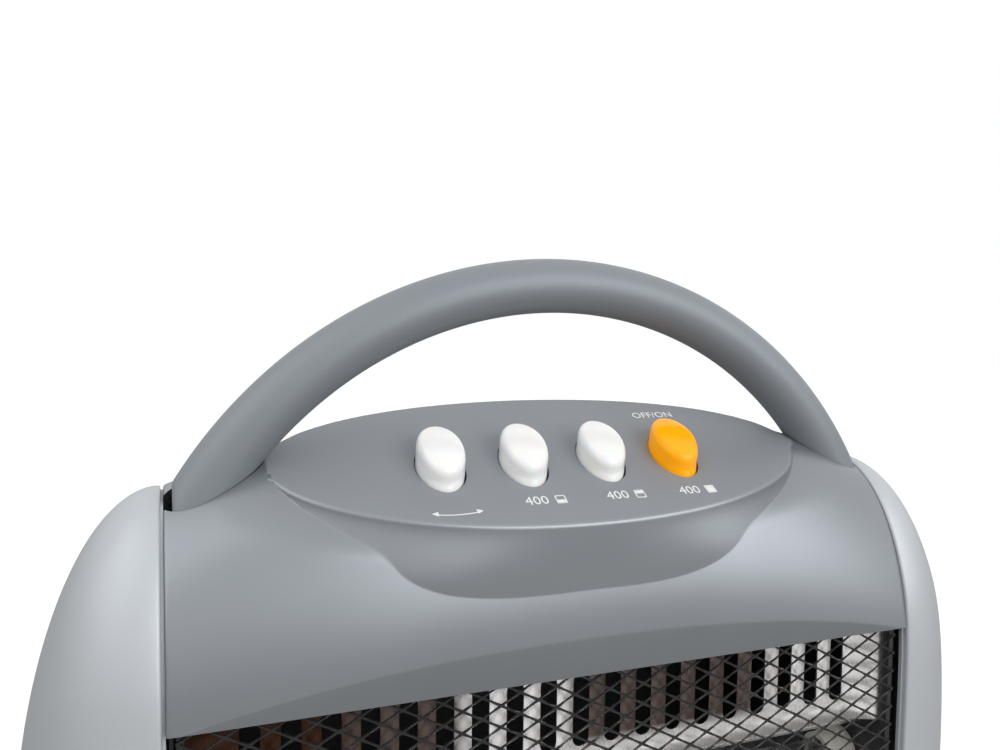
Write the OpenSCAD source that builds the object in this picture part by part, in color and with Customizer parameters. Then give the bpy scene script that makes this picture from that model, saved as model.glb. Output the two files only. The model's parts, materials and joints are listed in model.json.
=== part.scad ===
// Free-standing halogen heater with three horizontal quartz tubes, an arched
// carrying handle, a sloping panel of four rocker switches and a swinging foot.
// The origin is on the floor under the swing axis. The front faces -Y, +Z is up.

/* [Body] */
// Width of the grey centre housing between the two side covers
body_w = 236; // [226:1:244]
// Depth of the body from front to back
body_d = 87.6; // [85:0.2:94]
// Height of the underside of the head above the floor
head_z = 50; // [49.5:0.1:53]
// Height of the crown of the housing above the floor
crown_z = 344; // [343.2:0.2:352]
// Radius of the arched crown, seen from the front
crown_r = 320; // [314:1:330]
// Height over which the crown rolls down to the upright front
crown_roll = 75; // [71:1:78]
// Exponent of the rolled crown profile, two for an ellipse
roll_power = 2.4; // [2.2:0.05:2.6]
// Wall thickness of the plastic mouldings
wall = 2.4; // [2:0.1:2.8]
// Height of the bottom edge of the grille opening
grille_low = 84; // [80:1:90]
// Height of the top edge of the grille opening
grille_top = 267.3; // [265:0.1:270]
// Slope of the brow over the grille, in degrees
brow_tilt = 7.6; // [6:0.2:9]

/* [Side covers] */
// Largest width of one side cover beyond the centre housing
cover_w = 38.5; // [34:0.5:46]
// Height of the widest place of the side covers
cover_mid_z = 215; // [205:1:225]
// Height below the widest place over which the covers would close
cover_taper = 190; // [180:1:220]

/* [Control panel] */
// Slope of the control panel, in degrees
panel_tilt = 28.8; // [27:0.2:30]
// Height of the panel plane at panel_y
panel_z = 330; // [329.4:0.1:331]
// Width of the pod below the control panel
pod_w = 180; // [174:1:184]
// Depth of the pod ellipse from its middle to its front
pod_d = 30; // [29:0.2:31]
// Distance between neighbouring rocker switches
rocker_pitch = 26.7; // [25:0.1:28.5]
// Length of a rocker cap, tip to tip
rocker_l = 26; // [25:0.2:27]
// Width of a rocker cap
rocker_w = 14.6; // [14:0.1:15.4]
// Height of a rocker cap above the panel
rocker_h = 9.1; // [8:0.1:10]
// Full travel of a rocker, in degrees
rocker_travel = 12; // [9:0.5:13]

/* [Handle] */
// Radius of the handle arch to the middle of the grip
handle_r = 127; // [126:0.2:128]
// Diameter of the grip
grip_d = 17; // [15:0.2:17.6]
// Distance from the middle of the body to the middle of each end of the handle
handle_end = 112; // [111:0.1:112.6]

/* [Heating] */
// Distance between neighbouring quartz tubes
tube_pitch = 36; // [33:0.5:37]
// Outer diameter of a quartz tube
tube_d = 11; // [9:0.2:12]
// Radius of the reflector trough
trough_r = 56.2; // [54.8:0.2:57]
// Thickness of the sheet metal
sheet = 0.8; // [0.6:0.1:1]
// Distance between neighbouring slots of the reflector
slot_pitch = 10.9; // [9.5:0.1:12]
// Width of one reflector slot
slot_w = 5.4; // [4:0.1:6.4]

/* [Foot] */
// Diameter of the round foot
foot_d = 220; // [212:1:240]
// Radius of the hollow swing post
post_r = 14; // [13:0.1:15]
// Distance from the swing axis to the crank axis
crank_y = 26; // [25:0.5:28]
// Throw of the crank pin
crank_throw = 13; // [11:0.1:13.4]
// Bore of the cord bush
cord_bore = 7.6; // [6:0.1:8.4]

/* [Hidden] */

// Shared gaps
eps = 0.01;
seam = 0.3;                            // gap between two mouldings
seat = 0.2;                            // gap where one fixed piece rests on another
run = 0.05;                            // radial clearance of a turning pin
part_fn = 96;

// Colours
grey = [0.56, 0.58, 0.60];
silver = [0.76, 0.78, 0.80];
steel = [0.8, 0.8, 0.8];
black = [0.08, 0.08, 0.08];
white = [0.95, 0.95, 0.93];
orange = [1, 0.55, 0.05];
brass = [0.8, 0.65, 0.3];

// Body
half_w = body_w / 2;
half_d = body_d / 2;
axis_z = crown_z - crown_r;            // height of the axis the crown turns about
split_y = 13;                          // plane between the front mouldings and the rear cover
side_wall = 2;
brow_y = half_d - 1.9;                 // the brow stands back from the front by this much
edge_r = 12;                           // rounding of the bottom edges of the head
cover_gap = 0.8;                       // seam between the side covers and the centre housing
cover_x = half_w + cover_gap;

// Panel
panel_y = -10;
pod_y = -12;
pod_low = crown_z - 59;                // bottom of the pod, inside the brow
rocker_y = -18;
rocker_z = panel_z + (rocker_y - panel_y) * tan(panel_tilt);
rocker_gap = 0.45;                     // gap beside a rocker cap
rocker_end_gap = 1.2;                  // gap past each tip, which swings
rocker_shift = -1;                     // the row of rockers sits this far left of the middle
rocker_edge = 0.75;                    // how far the top of a cap stands in from its sides
rocker_tip = 2.1;                      // and from its tips
pivot_depth = 6;                       // depth of the rocker pivots below the panel
rest_tilt = -rocker_travel / 2;
switch_w = rocker_w + 4.6;
switch_l = rocker_l + 5;
switch_h = 14.4;
switch_top = wall + seat;
pivot_r = 1.5;
cap_skirt = 3.5;                       // how far the caps reach below the panel

// Handle
grip_r = grip_d / 2;
handle_y = -10;
shelf_z = crown_z - 30;                // the handle ends stand on shelves at this height
shelf_t = 3;
shelf_w = half_w - side_wall - handle_end + grip_d;
screw_r = 1.7;
long_screw = 12;
head_r = 3.4;
head_t = 2.2;
handle_z = shelf_z - sqrt(pow(handle_r, 2) - pow(handle_end, 2));
handle_screw_l = 15;
handle_screw_x = sqrt(pow(handle_r, 2) - pow(shelf_z + handle_screw_l / 2 - handle_z, 2));

// Grille
mesh_y = -(brow_y - wall - seam);      // front of the mesh
mesh_t = 0.8;
frame_w = 7;
frame_t = 3;
mesh_lap = 3;                          // how far the mesh reaches behind the mouldings
mesh_cols = 10;
mesh_rows = 15;
strand = 1.6;
mesh_rim = 2;

// Reflector and tubes
flange_y = -30;
mid_z = (grille_low + grille_top) / 2;
trough_out = 14.2;                     // how far the trough axis lies before the flanges
trough_y = flange_y - trough_out;
flange_low = grille_low + 2;
flange_high = grille_top - 2.8;
trough_h = 2 * sqrt(pow(trough_r, 2) - pow(flange_y - trough_y, 2));
tube_y = -14;
tube_r = tube_d / 2;
plate_t = 1.2;
plate_x = half_w - 1.8;                // inner face of a side plate
plate_y = mesh_y + mesh_t + frame_t + seat;
cap_r = tube_r + 2;
cap_len = 20;
cap_in = half_w - 12;                  // where the ceramic caps start
slot_count = 19;
slot_shift = 0.8;                      // the slots sit this far right of the middle
slot_low = grille_top - 27.6;
slot_high = grille_top - 6;
shield_z = grille_top - 1.4;

// Foot
foot_r = foot_d / 2;
feet_h = 4;
plate_z = feet_h;
base_plate_t = 1.5;
base_top = head_z - 5;
glide_t = 1.3;
swivel_z = base_top + glide_t + seam;
swivel_r = 44;
swivel_screw_at = swivel_r - 12;
glide_r = swivel_r - 4;
glide_in = post_r + 8;
post_wall = 4.5;
base_screw_at = foot_r - 18;
sleeve_wall = 4;
foot_at = foot_r - 20;
foot_roll = 56;                        // width over which the foot rounds down to its side
post_low = head_z - 18.5;
arm_z = base_top - 11;
arm_t = 3.7;
sleeve_low = arm_z + arm_t + seam;
pin_r = 2.5;
arm_slot = 2 * (pin_r + 1);
motor_r = 24.5;
ear_l = 9;                             // length of the fixing ears of the motor
ear_w = 10;
ear_t = 1.4;
motor_screw_at = motor_r + 5;
motor_z = plate_z + base_plate_t + 0.1;
motor_top = arm_z - 9.5;
crank_z = motor_top + 3;
crank_t = 3.5;
shaft_r = 3;
cord_y = foot_r - 2.1;
cord_z = 12.5;
bush_r = 6.5;
tip_y = 40 - foot_r;                    // the plunger stands behind the front rubber foot
tip_stem = 3;
tip_r = 9;
tip_top = 23.5;
tip_travel = 4;

// Local frame of the control panel with its origin at a rocker
module on_panel(x = 0) {
    translate([x, rocker_y, rocker_z])
        rotate([panel_tilt, 0, 0])
            children();
}

// Half width of the rolled crown profile at a radius from the crown axis
function roll_y(r, cut) =
    let (low = crown_r - crown_roll,
         t = max(0, (r - low) / (crown_r - cut - low)))
    (half_d - cut) * pow(max(0, 1 - pow(min(1, t), roll_power)), 1 / roll_power);

roll_steps = 14;

// Disc whose rim is the rolled crown, with cut taken off all round
module crown_disc(cut = 0) {
    low = crown_r - crown_roll;
    rim = [for (k = [0:roll_steps]) let (a = 90 * k / roll_steps)
        [low + (crown_r - cut - low) * pow(sin(a), 2 / roll_power),
         (half_d - cut) * pow(cos(a), 2 / roll_power)]];
    side = concat([[1, half_d - cut]], rim);
    back = [for (k = [len(side) - 2:-1:0]) [side[k][0], -side[k][1]]];
    translate([0, 0, axis_z])
        rotate([90, 0, 0])
            rotate_extrude($fn = 180)
                polygon(concat(side, back));
}

// Everything below the panel plane, lowered by cut
module below_panel(cut = 0) {
    on_panel()
        translate([-half_w * 2, -crown_r, -crown_r - cut])
            cube([half_w * 4, crown_r * 2, crown_r]);
}

// Upright elliptic column under the control panel
module pod(cut = 0) {
    a = pod_w / 2 - cut;
    b = pod_d - cut;
    translate([0, pod_y, pod_low])
        linear_extrude(crown_z - pod_low)
            polygon([for (k = [0:5:355]) [a * cos(k), b * sin(k)]]);
}

// Space in front of the brow plane, moved back by cut
module before_brow(cut = 0) {
    translate([0, -brow_y + cut, grille_top])
        rotate([brow_tilt, 0, 0])
            translate([-half_w * 2, -crown_r, -crown_r])
                cube([half_w * 4, crown_r, crown_r * 2]);
}

// Upright slab between two heights and two depths
module slab(x, y0, y1, z0, z1) {
    translate([-x, y0, z0])
        cube([2 * x, y1 - y0, z1 - z0]);
}

// Side view of the head with its rounded bottom edges, drawn across the width
module head_section(x, cut = 0) {
    d = half_d - cut;
    r = edge_r - cut;
    low = head_z + cut;
    intersection() {
        slab(x, -d, d, low, crown_z + 10);
        union() {
            slab(x, -d + r, d - r, low, crown_z + 10);
            slab(x, -d, d, low + r, crown_z + 10);
            for (s = [-1, 1])
                translate([-x, s * (d - r), low + r])
                    rotate([0, 90, 0])
                        cylinder(r = r, h = 2 * x, $fn = part_fn);
        }
    }
}

// Crown with its sloping panel and pod, as a solid
module crown_solid(cut = 0) {
    difference() {
        intersection() {
            union() {
                crown_disc(cut);
                pod(cut);
            }
            below_panel(cut);
        }
        before_brow(cut);
    }
}

// Lens-shaped prism made by two crossing cylinders
module lens(l, w, z0, z1) {
    r = (l * l / 4 + w * w / 4) / w;
    translate([0, 0, z0])
        intersection_for (s = [-1, 1])
            translate([s * (r - w / 2), 0, 0])
                cylinder(r = r, h = z1 - z0, $fn = part_fn);
}

rocker_x = [for (n = [0:3]) (n - 1.5) * rocker_pitch + rocker_shift];
boss_x = half_w - 23;
boss_top_z = grille_top + 22;
boss_low_z = head_z + 16;
cover_boss_y = 5;

// Screw boss along Y with a pilot hole
module boss_y(x, z, y0, y1, r, hole) {
    translate([x, y1, z])
        rotate([90, 0, 0])
            difference() {
                cylinder(r = r, h = y1 - y0, $fn = 48);
                translate([0, 0, -eps])
                    cylinder(r = hole, h = 18, $fn = 48);
            }
}

// Grey crown moulding with the control panel
module top_housing() {
    color(grey) {
        difference() {
            intersection() {
                crown_solid();
                slab(half_w, -half_d - 10, split_y, grille_top, crown_z + 10);
            }
            intersection() {
                crown_solid(wall);
                slab(half_w - side_wall, -half_d - 10, split_y + 1, grille_top - 1, crown_z + 10);
            }
            for (x = rocker_x)
                on_panel(x)
                    lens(rocker_l + 2 * rocker_end_gap, rocker_w + 2 * rocker_gap, -wall - 1, 1);
            handle_tube(grip_r + seam);
            for (s = [-1, 1])
                translate([s * (half_w + 1), cover_boss_y, boss_top_z - 6])
                    rotate([0, -s * 90, 0])
                        cylinder(r = screw_r + seat, h = side_wall + 3, $fn = 48);
            loom_path(2.6);
        }
        for (s = [-1, 1]) {
            difference() {
                translate([s * (half_w - side_wall - shelf_w / 2), handle_y, shelf_z - shelf_t / 2])
                    cube([shelf_w, grip_d + 1, shelf_t], center = true);
                translate([s * handle_screw_x, handle_y, shelf_z - shelf_t - 1])
                    cylinder(r = screw_r + seat, h = shelf_t + 2, $fn = 48);
            }
            boss_y(s * boss_x, boss_top_z, -roll_y(norm([boss_x, boss_top_z - axis_z]), wall) - 0.8,
                   split_y, 4, screw_r + 0.1);
        }
    }
}

// Round part of the head's floor that the swivel plate is screwed to
module floor_disc(r) {
    intersection() {
        translate([0, 0, head_z])
            cylinder(r = r, h = wall, $fn = part_fn);
        head_section(half_w);
    }
}

// Grey chin moulding below the grille
module lower_housing() {
    color(grey) {
        difference() {
            intersection() {
                head_section(half_w);
                slab(half_w, -brow_y, split_y, head_z, grille_low);
            }
            intersection() {
                head_section(half_w - side_wall, wall);
                slab(half_w - side_wall, -brow_y + wall, split_y + 1, head_z, grille_low + 1);
            }
            for (s = [-1, 1])
                translate([s * (half_w + 1), 0, boss_low_z])
                    rotate([0, -s * 90, 0])
                        cylinder(r = screw_r + seat, h = side_wall + 3, $fn = 48);
            floor_disc(swivel_r - 1);
        }
        difference() {
            floor_disc(swivel_r);
            translate([0, 0, head_z - 1])
                cylinder(r = post_r + seam, h = wall + 2, $fn = part_fn);
            swivel_holes(screw_r + seat);
        }
        for (s = [-1, 1])
            boss_y(s * boss_x, boss_low_z + 4, -brow_y + wall / 2, split_y, 4, screw_r + 0.1);
    }
}

rear_y = split_y + seam;
vent_w = 58;
vent_h = 4.5;
vent_pitch = 11;

// Moulded back with rows of vents
module rear_cover() {
    color(grey) {
        difference() {
            intersection() {
                crown_disc();
                head_section(half_w);
                slab(half_w, rear_y, half_d + 1, head_z, crown_z + 1);
            }
            intersection() {
                crown_disc(wall);
                head_section(half_w - side_wall, wall);
            }
            translate([0, 0, head_z - 1])
                cylinder(r = swivel_r + seam, h = wall + 2, $fn = part_fn);
            for (z = [grille_low + 12:vent_pitch:mid_z + 26])
                for (s = [-1, 0, 1])
                    translate([s * (vent_w + 14) - vent_w / 2, half_d - wall - 2, z])
                        cube([vent_w, wall + 4, vent_h]);
            for (s = [-1, 1])
                for (z = [boss_top_z, boss_low_z + 4])
                    translate([s * boss_x, half_d + 1, z])
                        rotate([90, 0, 0])
                            cylinder(r = head_r + seam, h = 14, $fn = 48);
        }
        for (s = [-1, 1])
            for (z = [boss_top_z, boss_low_z + 4])
                rear_boss(s * boss_x, z);
    }
}

rear_boss_y = half_d - 13;             // floor of the screw wells in the back

module rear_boss(x, z) {
    y_wall = roll_y(norm([x, z - axis_z]), wall);
    translate([x, rear_y, z])
        rotate([-90, 0, 0])
            difference() {
                cylinder(r = head_r + 2.2, h = y_wall + 0.6 - rear_y, $fn = 48);
                translate([0, 0, -1])
                    cylinder(r = screw_r + seat, h = 40, $fn = 48);
                translate([0, 0, rear_boss_y - rear_y])
                    cylinder(r = head_r + seam, h = 40, $fn = 48);
            }
}

// Depth of a side cover at a height, before its wall is taken off
function cover_half_d(z) =
    let (crown = roll_y(norm([half_w, z - axis_z]), 0),
         drop = max(0, head_z + edge_r - z),
         foot = half_d - 1.6 - edge_r + sqrt(max(0, pow(edge_r, 2) - pow(drop, 2))))
    min(crown, foot, half_d - 1.6);

// Width of a side cover at a height
function cover_out(z) =
    let (top = crown_r * cos(asin(half_w / crown_r)) + axis_z,
         up = (z - cover_mid_z) / (top - cover_mid_z),
         down = (cover_mid_z - z) / cover_taper,
         t = z > cover_mid_z ? up : down)
    cover_w * sqrt(max(0, 1 - t * t));

// Ring of points round a side cover at a height
function cover_ring(z, cut, steps) =
    let (w = cover_out(z) - cut, d = cover_half_d(z) - cut)
    [for (j = [0:steps]) let (a = -90 + 180 * j / steps)
        [cover_x + w * pow(max(0, cos(a)), 2 / 2.3),
         d * sign(sin(a)) * pow(abs(sin(a)), 2 / 2.3), z]];

cover_levels = 24;
cover_steps = 14;
cover_low = head_z;
cover_high = crown_z - 23.6;

// Thin shell of one side cover, open towards the body
module cover_shell() {
    n = cover_steps + 1;
    rise = [for (k = [0:cover_levels]) (1 - cos(180 * k / cover_levels)) / 2];
    outer = [for (t = rise) each cover_ring(cover_low + (cover_high - cover_low) * t, 0, cover_steps)];
    in_low = cover_low + wall;
    in_high = cover_high - 4;
    inner = [for (t = rise) each cover_ring(in_low + (in_high - in_low) * t, wall, cover_steps)];
    m = n * (cover_levels + 1);
    skin = [for (k = [0:cover_levels - 1]) for (j = [0:cover_steps - 1])
        let (a = k * n + j) each [[a, a + n, a + 1], [a + 1, a + n, a + n + 1]]];
    lining = [for (f = skin) [f[0] + m, f[2] + m, f[1] + m]];
    edges = [for (k = [0:cover_levels - 1]) let (a = k * n, b = k * n + cover_steps)
        each [[a, a + m, a + n], [a + n, a + m, a + n + m],
              [b, b + n, b + m], [b + n, b + n + m, b + m]]];
    low = [for (j = [0:cover_steps]) j];
    high = [for (j = [cover_steps:-1:0]) m - n + j];
    in_floor = [for (j = [cover_steps:-1:0]) m + j];
    in_roof = [for (j = [0:cover_steps]) 2 * m - n + j];
    sill = [[0, cover_steps, m + cover_steps], [0, m + cover_steps, m]];
    head = [[m - n, 2 * m - n, m - 1], [m - 1, 2 * m - n, 2 * m - 1]];
    polyhedron(concat(outer, inner),
               concat(skin, lining, edges, [low, high, in_floor, in_roof], sill, head), convexity = 6);
}

module cover_boss(y, z) {
    reach = cover_out(z) - wall + 0.6 - 1;
    translate([cover_x, y, z])
        rotate([0, 90, 0])
            cylinder(r = 4, h = reach, $fn = 48);
}

module cover_hole(y, z) {
    translate([cover_x - 1, y, z])
        rotate([0, 90, 0])
            cylinder(r = screw_r + 0.1, h = 15, $fn = 48);
}

module side_cover() {
    color(silver)
        difference() {
            union() {
                cover_shell();
                cover_boss(cover_boss_y, boss_top_z - 6);
                cover_boss(0, boss_low_z);
            }
            cover_hole(cover_boss_y, boss_top_z - 6);
            cover_hole(0, boss_low_z);
        }
}

module side_cover_right() {
    side_cover();
}

module side_cover_left() {
    mirror([1, 0, 0])
        side_cover();
}

// Arch of the handle with a given grip radius
module handle_tube(r) {
    translate([0, handle_y, handle_z])
        rotate([90, 0, 0])
            rotate_extrude(angle = 180, $fn = 180)
                translate([handle_r, 0])
                    circle(r = r, $fn = part_fn);
}

// Carrying handle with flat ends inside the housing
module handle() {
    color(grey)
        difference() {
            intersection() {
                handle_tube(grip_r);
                slab(half_w - side_wall - seam, handle_y - 20, handle_y + 20, shelf_z, crown_z + 100);
            }
            for (s = [-1, 1])
                translate([s * handle_screw_x, handle_y, shelf_z - 1])
                    cylinder(r = screw_r + 0.1, h = handle_screw_l + 1, $fn = 48);
        }
}

// Pan head screw along +Z with its head below z = 0
module screw(l) {
    color(steel) {
        translate([0, 0, -head_t / 2])
            cylinder(r = screw_r, h = l + head_t / 2, $fn = 32);
        translate([0, 0, -head_t])
            difference() {
                cylinder(r = head_r, h = head_t, $fn = 48);
                for (a = [0, 90])
                    rotate([0, 0, a])
                        translate([-1.8, -0.4, -1])
                            cube([3.6, 0.8, 1.8]);
            }
    }
}

module handle_screws() {
    for (s = [-1, 1])
        translate([s * handle_screw_x, handle_y, shelf_z - shelf_t])
            screw(handle_screw_l);
}

module rear_screws() {
    for (s = [-1, 1])
        for (z = [boss_top_z, boss_low_z + 4])
            translate([s * boss_x, rear_boss_y, z])
                rotate([90, 0, 0])
                    screw(rear_boss_y - split_y + 14);
}

module cover_screws() {
    for (s = [-1, 1])
        for (p = [[cover_boss_y, boss_top_z - 6], [0, boss_low_z]])
            translate([s * (half_w - side_wall), p[0], p[1]])
                rotate([0, s * 90, 0])
                    screw(long_screw);
}

// Front view of the mesh: full width in the opening, narrower where it laps behind the mouldings
function mesh_outline(x, h) =
    let (in_x = half_w - side_wall - seam, in_h = h - mesh_lap - seat)
    [[-in_x, -h], [in_x, -h], [in_x, -in_h], [x, -in_h], [x, in_h], [in_x, in_h],
     [in_x, h], [-in_x, h], [-in_x, in_h], [-x, in_h], [-x, -in_h], [-in_x, -in_h]];

// Expanded metal mesh: diamonds in staggered rows
module grille_mesh() {
    x1 = half_w - side_wall - seam;
    z0 = grille_low - mesh_lap;
    z1 = grille_top + mesh_lap;
    cell_w = 2 * (x1 - mesh_rim) / mesh_cols;
    cell_h = (z1 - z0 - 2 * mesh_rim) / mesh_rows;
    centres = [for (n = [1, 2]) for (i = [0:mesh_cols - n]) for (j = [0:mesh_rows - n])
        [(i - (mesh_cols - n) / 2) * cell_w, (j - (mesh_rows - n) / 2) * cell_h]];
    a = cell_w / 2 - strand;
    b = cell_h / 2 - strand * cell_h / cell_w;
    holes = [for (c = centres) each [c + [a, 0], c + [0, b], c - [a, 0], c - [0, b]]];
    h = (z1 - z0) / 2;
    edge = mesh_outline(half_w - seat, h);
    color(black)
        translate([0, mesh_y + mesh_t, (z0 + z1) / 2])
            rotate([90, 0, 0])
                linear_extrude(mesh_t)
                    polygon(concat(edge, holes),
                            concat([[for (k = [0:len(edge) - 1]) k]],
                                   [for (k = [0:len(centres) - 1]) [for (q = [0:3]) len(edge) + 4 * k + q]]));
}

// Folded steel frame behind the edges of the mesh
module grille_frame() {
    h = (grille_top - grille_low) / 2 + mesh_lap;
    color(black)
        difference() {
            translate([0, mesh_y + mesh_t + frame_t, mid_z])
                rotate([90, 0, 0])
                    linear_extrude(frame_t)
                        polygon(mesh_outline(half_w - seat, h));
            slab(half_w - frame_w, mesh_y, mesh_y + 10, mid_z - h + frame_w, mid_z + h - frame_w);
        }
}

// Obround slot through a flange at the reflector front
module flange_slot(x, z0, z1) {
    translate([x, flange_y + 2, 0])
        rotate([90, 0, 0])
            linear_extrude(4) {
                translate([-slot_w / 2, z0 + slot_w / 2])
                    square([slot_w, z1 - z0 - slot_w]);
                for (z = [z0 + slot_w / 2, z1 - slot_w / 2])
                    translate([0, z])
                        circle(r = slot_w / 2, $fn = 32);
            }
}

reflector_x = plate_x - seam;

// Polished trough with slotted flanges
module reflector() {
    color(steel)
        difference() {
            union() {
                intersection() {
                    translate([-reflector_x, trough_y, mid_z])
                        rotate([0, 90, 0])
                            difference() {
                                cylinder(r = trough_r + sheet, h = 2 * reflector_x, $fn = 180);
                                translate([0, 0, -1])
                                    cylinder(r = trough_r, h = 2 * reflector_x + 2, $fn = 180);
                            }
                    slab(reflector_x, flange_y, half_d, grille_low, grille_top);
                }
                for (s = [-1, 1])
                    slab(reflector_x, flange_y, flange_y + sheet,
                         s > 0 ? mid_z + trough_h / 2 : flange_low,
                         s > 0 ? flange_high : mid_z - trough_h / 2);
            }
            for (k = [0:slot_count - 1]) {
                x = (k - (slot_count - 1) / 2) * slot_pitch + slot_shift;
                flange_slot(x, slot_low, slot_high);
                flange_slot(x, 2 * mid_z - slot_high, 2 * mid_z - slot_low);
            }
        }
}

tube_zs = [mid_z + tube_pitch, mid_z, mid_z - tube_pitch];

// Sheet metal end wall that carries the tubes
module side_plate() {
    color(black)
        difference() {
            translate([plate_x, plate_y, grille_low + seat])
                cube([plate_t, split_y - plate_y, shield_z - seat - grille_low - seat]);
            for (z = tube_zs)
                translate([plate_x - 1, tube_y, z])
                    rotate([0, 90, 0])
                        cylinder(r = cap_r + seat, h = plate_t + 2, $fn = 64);
        }
}

module side_plate_right() {
    side_plate();
}

module side_plate_left() {
    mirror([1, 0, 0])
        side_plate();
}

// Sheet metal roof between the reflector and the switches
module heat_shield() {
    color(steel)
        slab(plate_x + plate_t, plate_y, split_y, shield_z, shield_z + 1);
}

// Quartz tube, open at both ends
module quartz_tube(z) {
    color([0.9, 0.92, 0.95, 0.5])
        translate([-half_w + 2, tube_y, z])
            rotate([0, 90, 0])
                difference() {
                    cylinder(r = tube_r, h = body_w - 4, $fn = 64);
                    translate([0, 0, -1])
                        cylinder(r = tube_r - 1, h = body_w, $fn = 64);
                }
}

module quartz_tube_top() {
    quartz_tube(tube_zs[0]);
}

module quartz_tube_middle() {
    quartz_tube(tube_zs[1]);
}

module quartz_tube_bottom() {
    quartz_tube(tube_zs[2]);
}

support_count = 8;

// Heating coil inside a tube, with its support discs
module filament(z) {
    color("gray")
        translate([-half_w + 3, tube_y, z])
            rotate([0, 90, 0]) {
                cylinder(r = 1.3, h = body_w - 6, $fn = 24);
                for (k = [1:support_count])
                    translate([0, 0, k * (body_w - 6) / (support_count + 1) - 0.4])
                        cylinder(r = tube_r - 1.2, h = 0.8, $fn = 48);
            }
}

module filament_top() {
    filament(tube_zs[0]);
}

module filament_middle() {
    filament(tube_zs[1]);
}

module filament_bottom() {
    filament(tube_zs[2]);
}

// Ceramic cap on each end of a tube, with a flange inside the plate and a stud outside
module ceramic_caps(z) {
    color(white)
        for (s = [-1, 1])
            translate([s * cap_in, tube_y, z])
                rotate([0, s * 90, 0])
                    difference() {
                        union() {
                            cylinder(r = cap_r, h = cap_len, $fn = 64);
                            translate([0, 0, plate_x - cap_in - 3 - seat])
                                cylinder(r = cap_r + 2, h = 3, $fn = 64);
                            translate([0, 0, cap_len - eps])
                                cylinder(r = 2, h = 5, $fn = 32);
                        }
                        translate([0, 0, -1])
                            cylinder(r = tube_r + seat, h = half_w - 2 - cap_in + 1 + seat, $fn = 64);
                    }
}

module ceramic_caps_top() {
    ceramic_caps(tube_zs[0]);
}

module ceramic_caps_middle() {
    ceramic_caps(tube_zs[1]);
}

module ceramic_caps_bottom() {
    ceramic_caps(tube_zs[2]);
}

// Spring rings that hold the ceramic caps against the side plates
module cap_clips() {
    color(steel)
        for (s = [-1, 1])
            for (z = tube_zs)
                translate([s * (plate_x + plate_t + 0.1), tube_y, z])
                    rotate([0, s * 90, 0])
                        difference() {
                            cylinder(r = cap_r + 2.6, h = 0.7, $fn = 64);
                            translate([0, 0, -1])
                                cylinder(r = cap_r + 0.1, h = 3, $fn = 64);
                        }
}

// Rocker cap with its web and pivot pins
module rocker(tint) {
    color(tint)
        translate([0, 0, -pivot_depth])
            rotate([rest_tilt, 0, 0])
                translate([0, 0, pivot_depth]) {
                    lens(rocker_l, rocker_w, -cap_skirt, rocker_h * 0.32);
                    intersection() {
                        scale([rocker_w / 2 - rocker_edge, rocker_l / 2 - rocker_tip, 1])
                            cylinder(r = 1, h = rocker_h, $fn = part_fn);
                        translate([-rocker_w, 0, rocker_h - 1.5 * rocker_l])
                            rotate([0, 90, 0])
                                cylinder(r = 1.5 * rocker_l, h = 2 * rocker_w, $fn = part_fn);
                    }
                    translate([-rocker_w / 2 + 2, -2.5, -pivot_depth - 2.4])
                        cube([rocker_w - 4, 5, pivot_depth]);
                    translate([-switch_w / 2 + 0.6, 0, -pivot_depth])
                        rotate([0, 90, 0])
                            cylinder(r = pivot_r, h = switch_w - 1.2, $fn = 48);
                }
}

module swing_rocker() {
    on_panel(rocker_x[0])
        rocker(white);
}

module heat_rocker_1() {
    on_panel(rocker_x[1])
        rocker(white);
}

module heat_rocker_2() {
    on_panel(rocker_x[2])
        rocker(white);
}

module power_rocker() {
    on_panel(rocker_x[3])
        rocker(orange);
}

cavity_depth = 10.8;
cavity_w = rocker_w + 2 * rocker_gap;

// Switch body below the panel, with the well its rocker moves in
module switch_body() {
    color(black)
        difference() {
            translate([-switch_w / 2, -switch_l / 2, -switch_top - switch_h])
                cube([switch_w, switch_l, switch_h]);
            translate([-cavity_w / 2, -switch_l / 2 + 1, -cavity_depth])
                cube([cavity_w, switch_l - 2, cavity_depth]);
            translate([-switch_w, 0, -pivot_depth])
                rotate([0, 90, 0])
                    cylinder(r = pivot_r + run, h = 2 * switch_w, $fn = 48);
        }
}

module swing_switch() {
    on_panel(rocker_x[0])
        switch_body();
}

module heat_switch_1() {
    on_panel(rocker_x[1])
        switch_body();
}

module heat_switch_2() {
    on_panel(rocker_x[2])
        switch_body();
}

module power_switch() {
    on_panel(rocker_x[3])
        switch_body();
}

// Flat terminals under the switch bodies
module switch_tabs() {
    color(brass)
        for (x = rocker_x)
            on_panel(x)
                for (y = [-7, 7])
                    translate([-2.4, y - 0.4, -switch_top - switch_h - 8])
                        cube([4.8, 0.8, 8 - 0.1]);
}

// Small glow lamp under the power rocker
module power_lamp() {
    color([1, 0.5, 0.2])
        on_panel(rocker_x[3])
            translate([-4, -8, -cavity_depth + 2])
                rotate([0, 90, 0])
                    cylinder(r = 1.8, h = 8, $fn = 32);
}

// Terminal block on the heat shield
module terminal_block() {
    color(white)
        translate([-80, -6, shield_z + 1 + 0.1])
            difference() {
                cube([36, 14, 12]);
                for (k = [0:2])
                    translate([6 + 12 * k, 7, 4])
                        cylinder(r = 2.5, h = 10, $fn = 32);
            }
}

// Bimetal cut-out disc on the heat shield
module thermal_cutout() {
    color(steel)
        translate([62, 0, shield_z + 1 + 0.1]) {
            cylinder(r = 8, h = 4, $fn = 64);
            cylinder(r = 5.5, h = 9, $fn = 64);
        }
}

loom_x = cap_in + cap_len + 5 + 2.4;
loom_z = boss_top_z - 18;
loom_r = 2.2;
loom_bend = 8;

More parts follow.
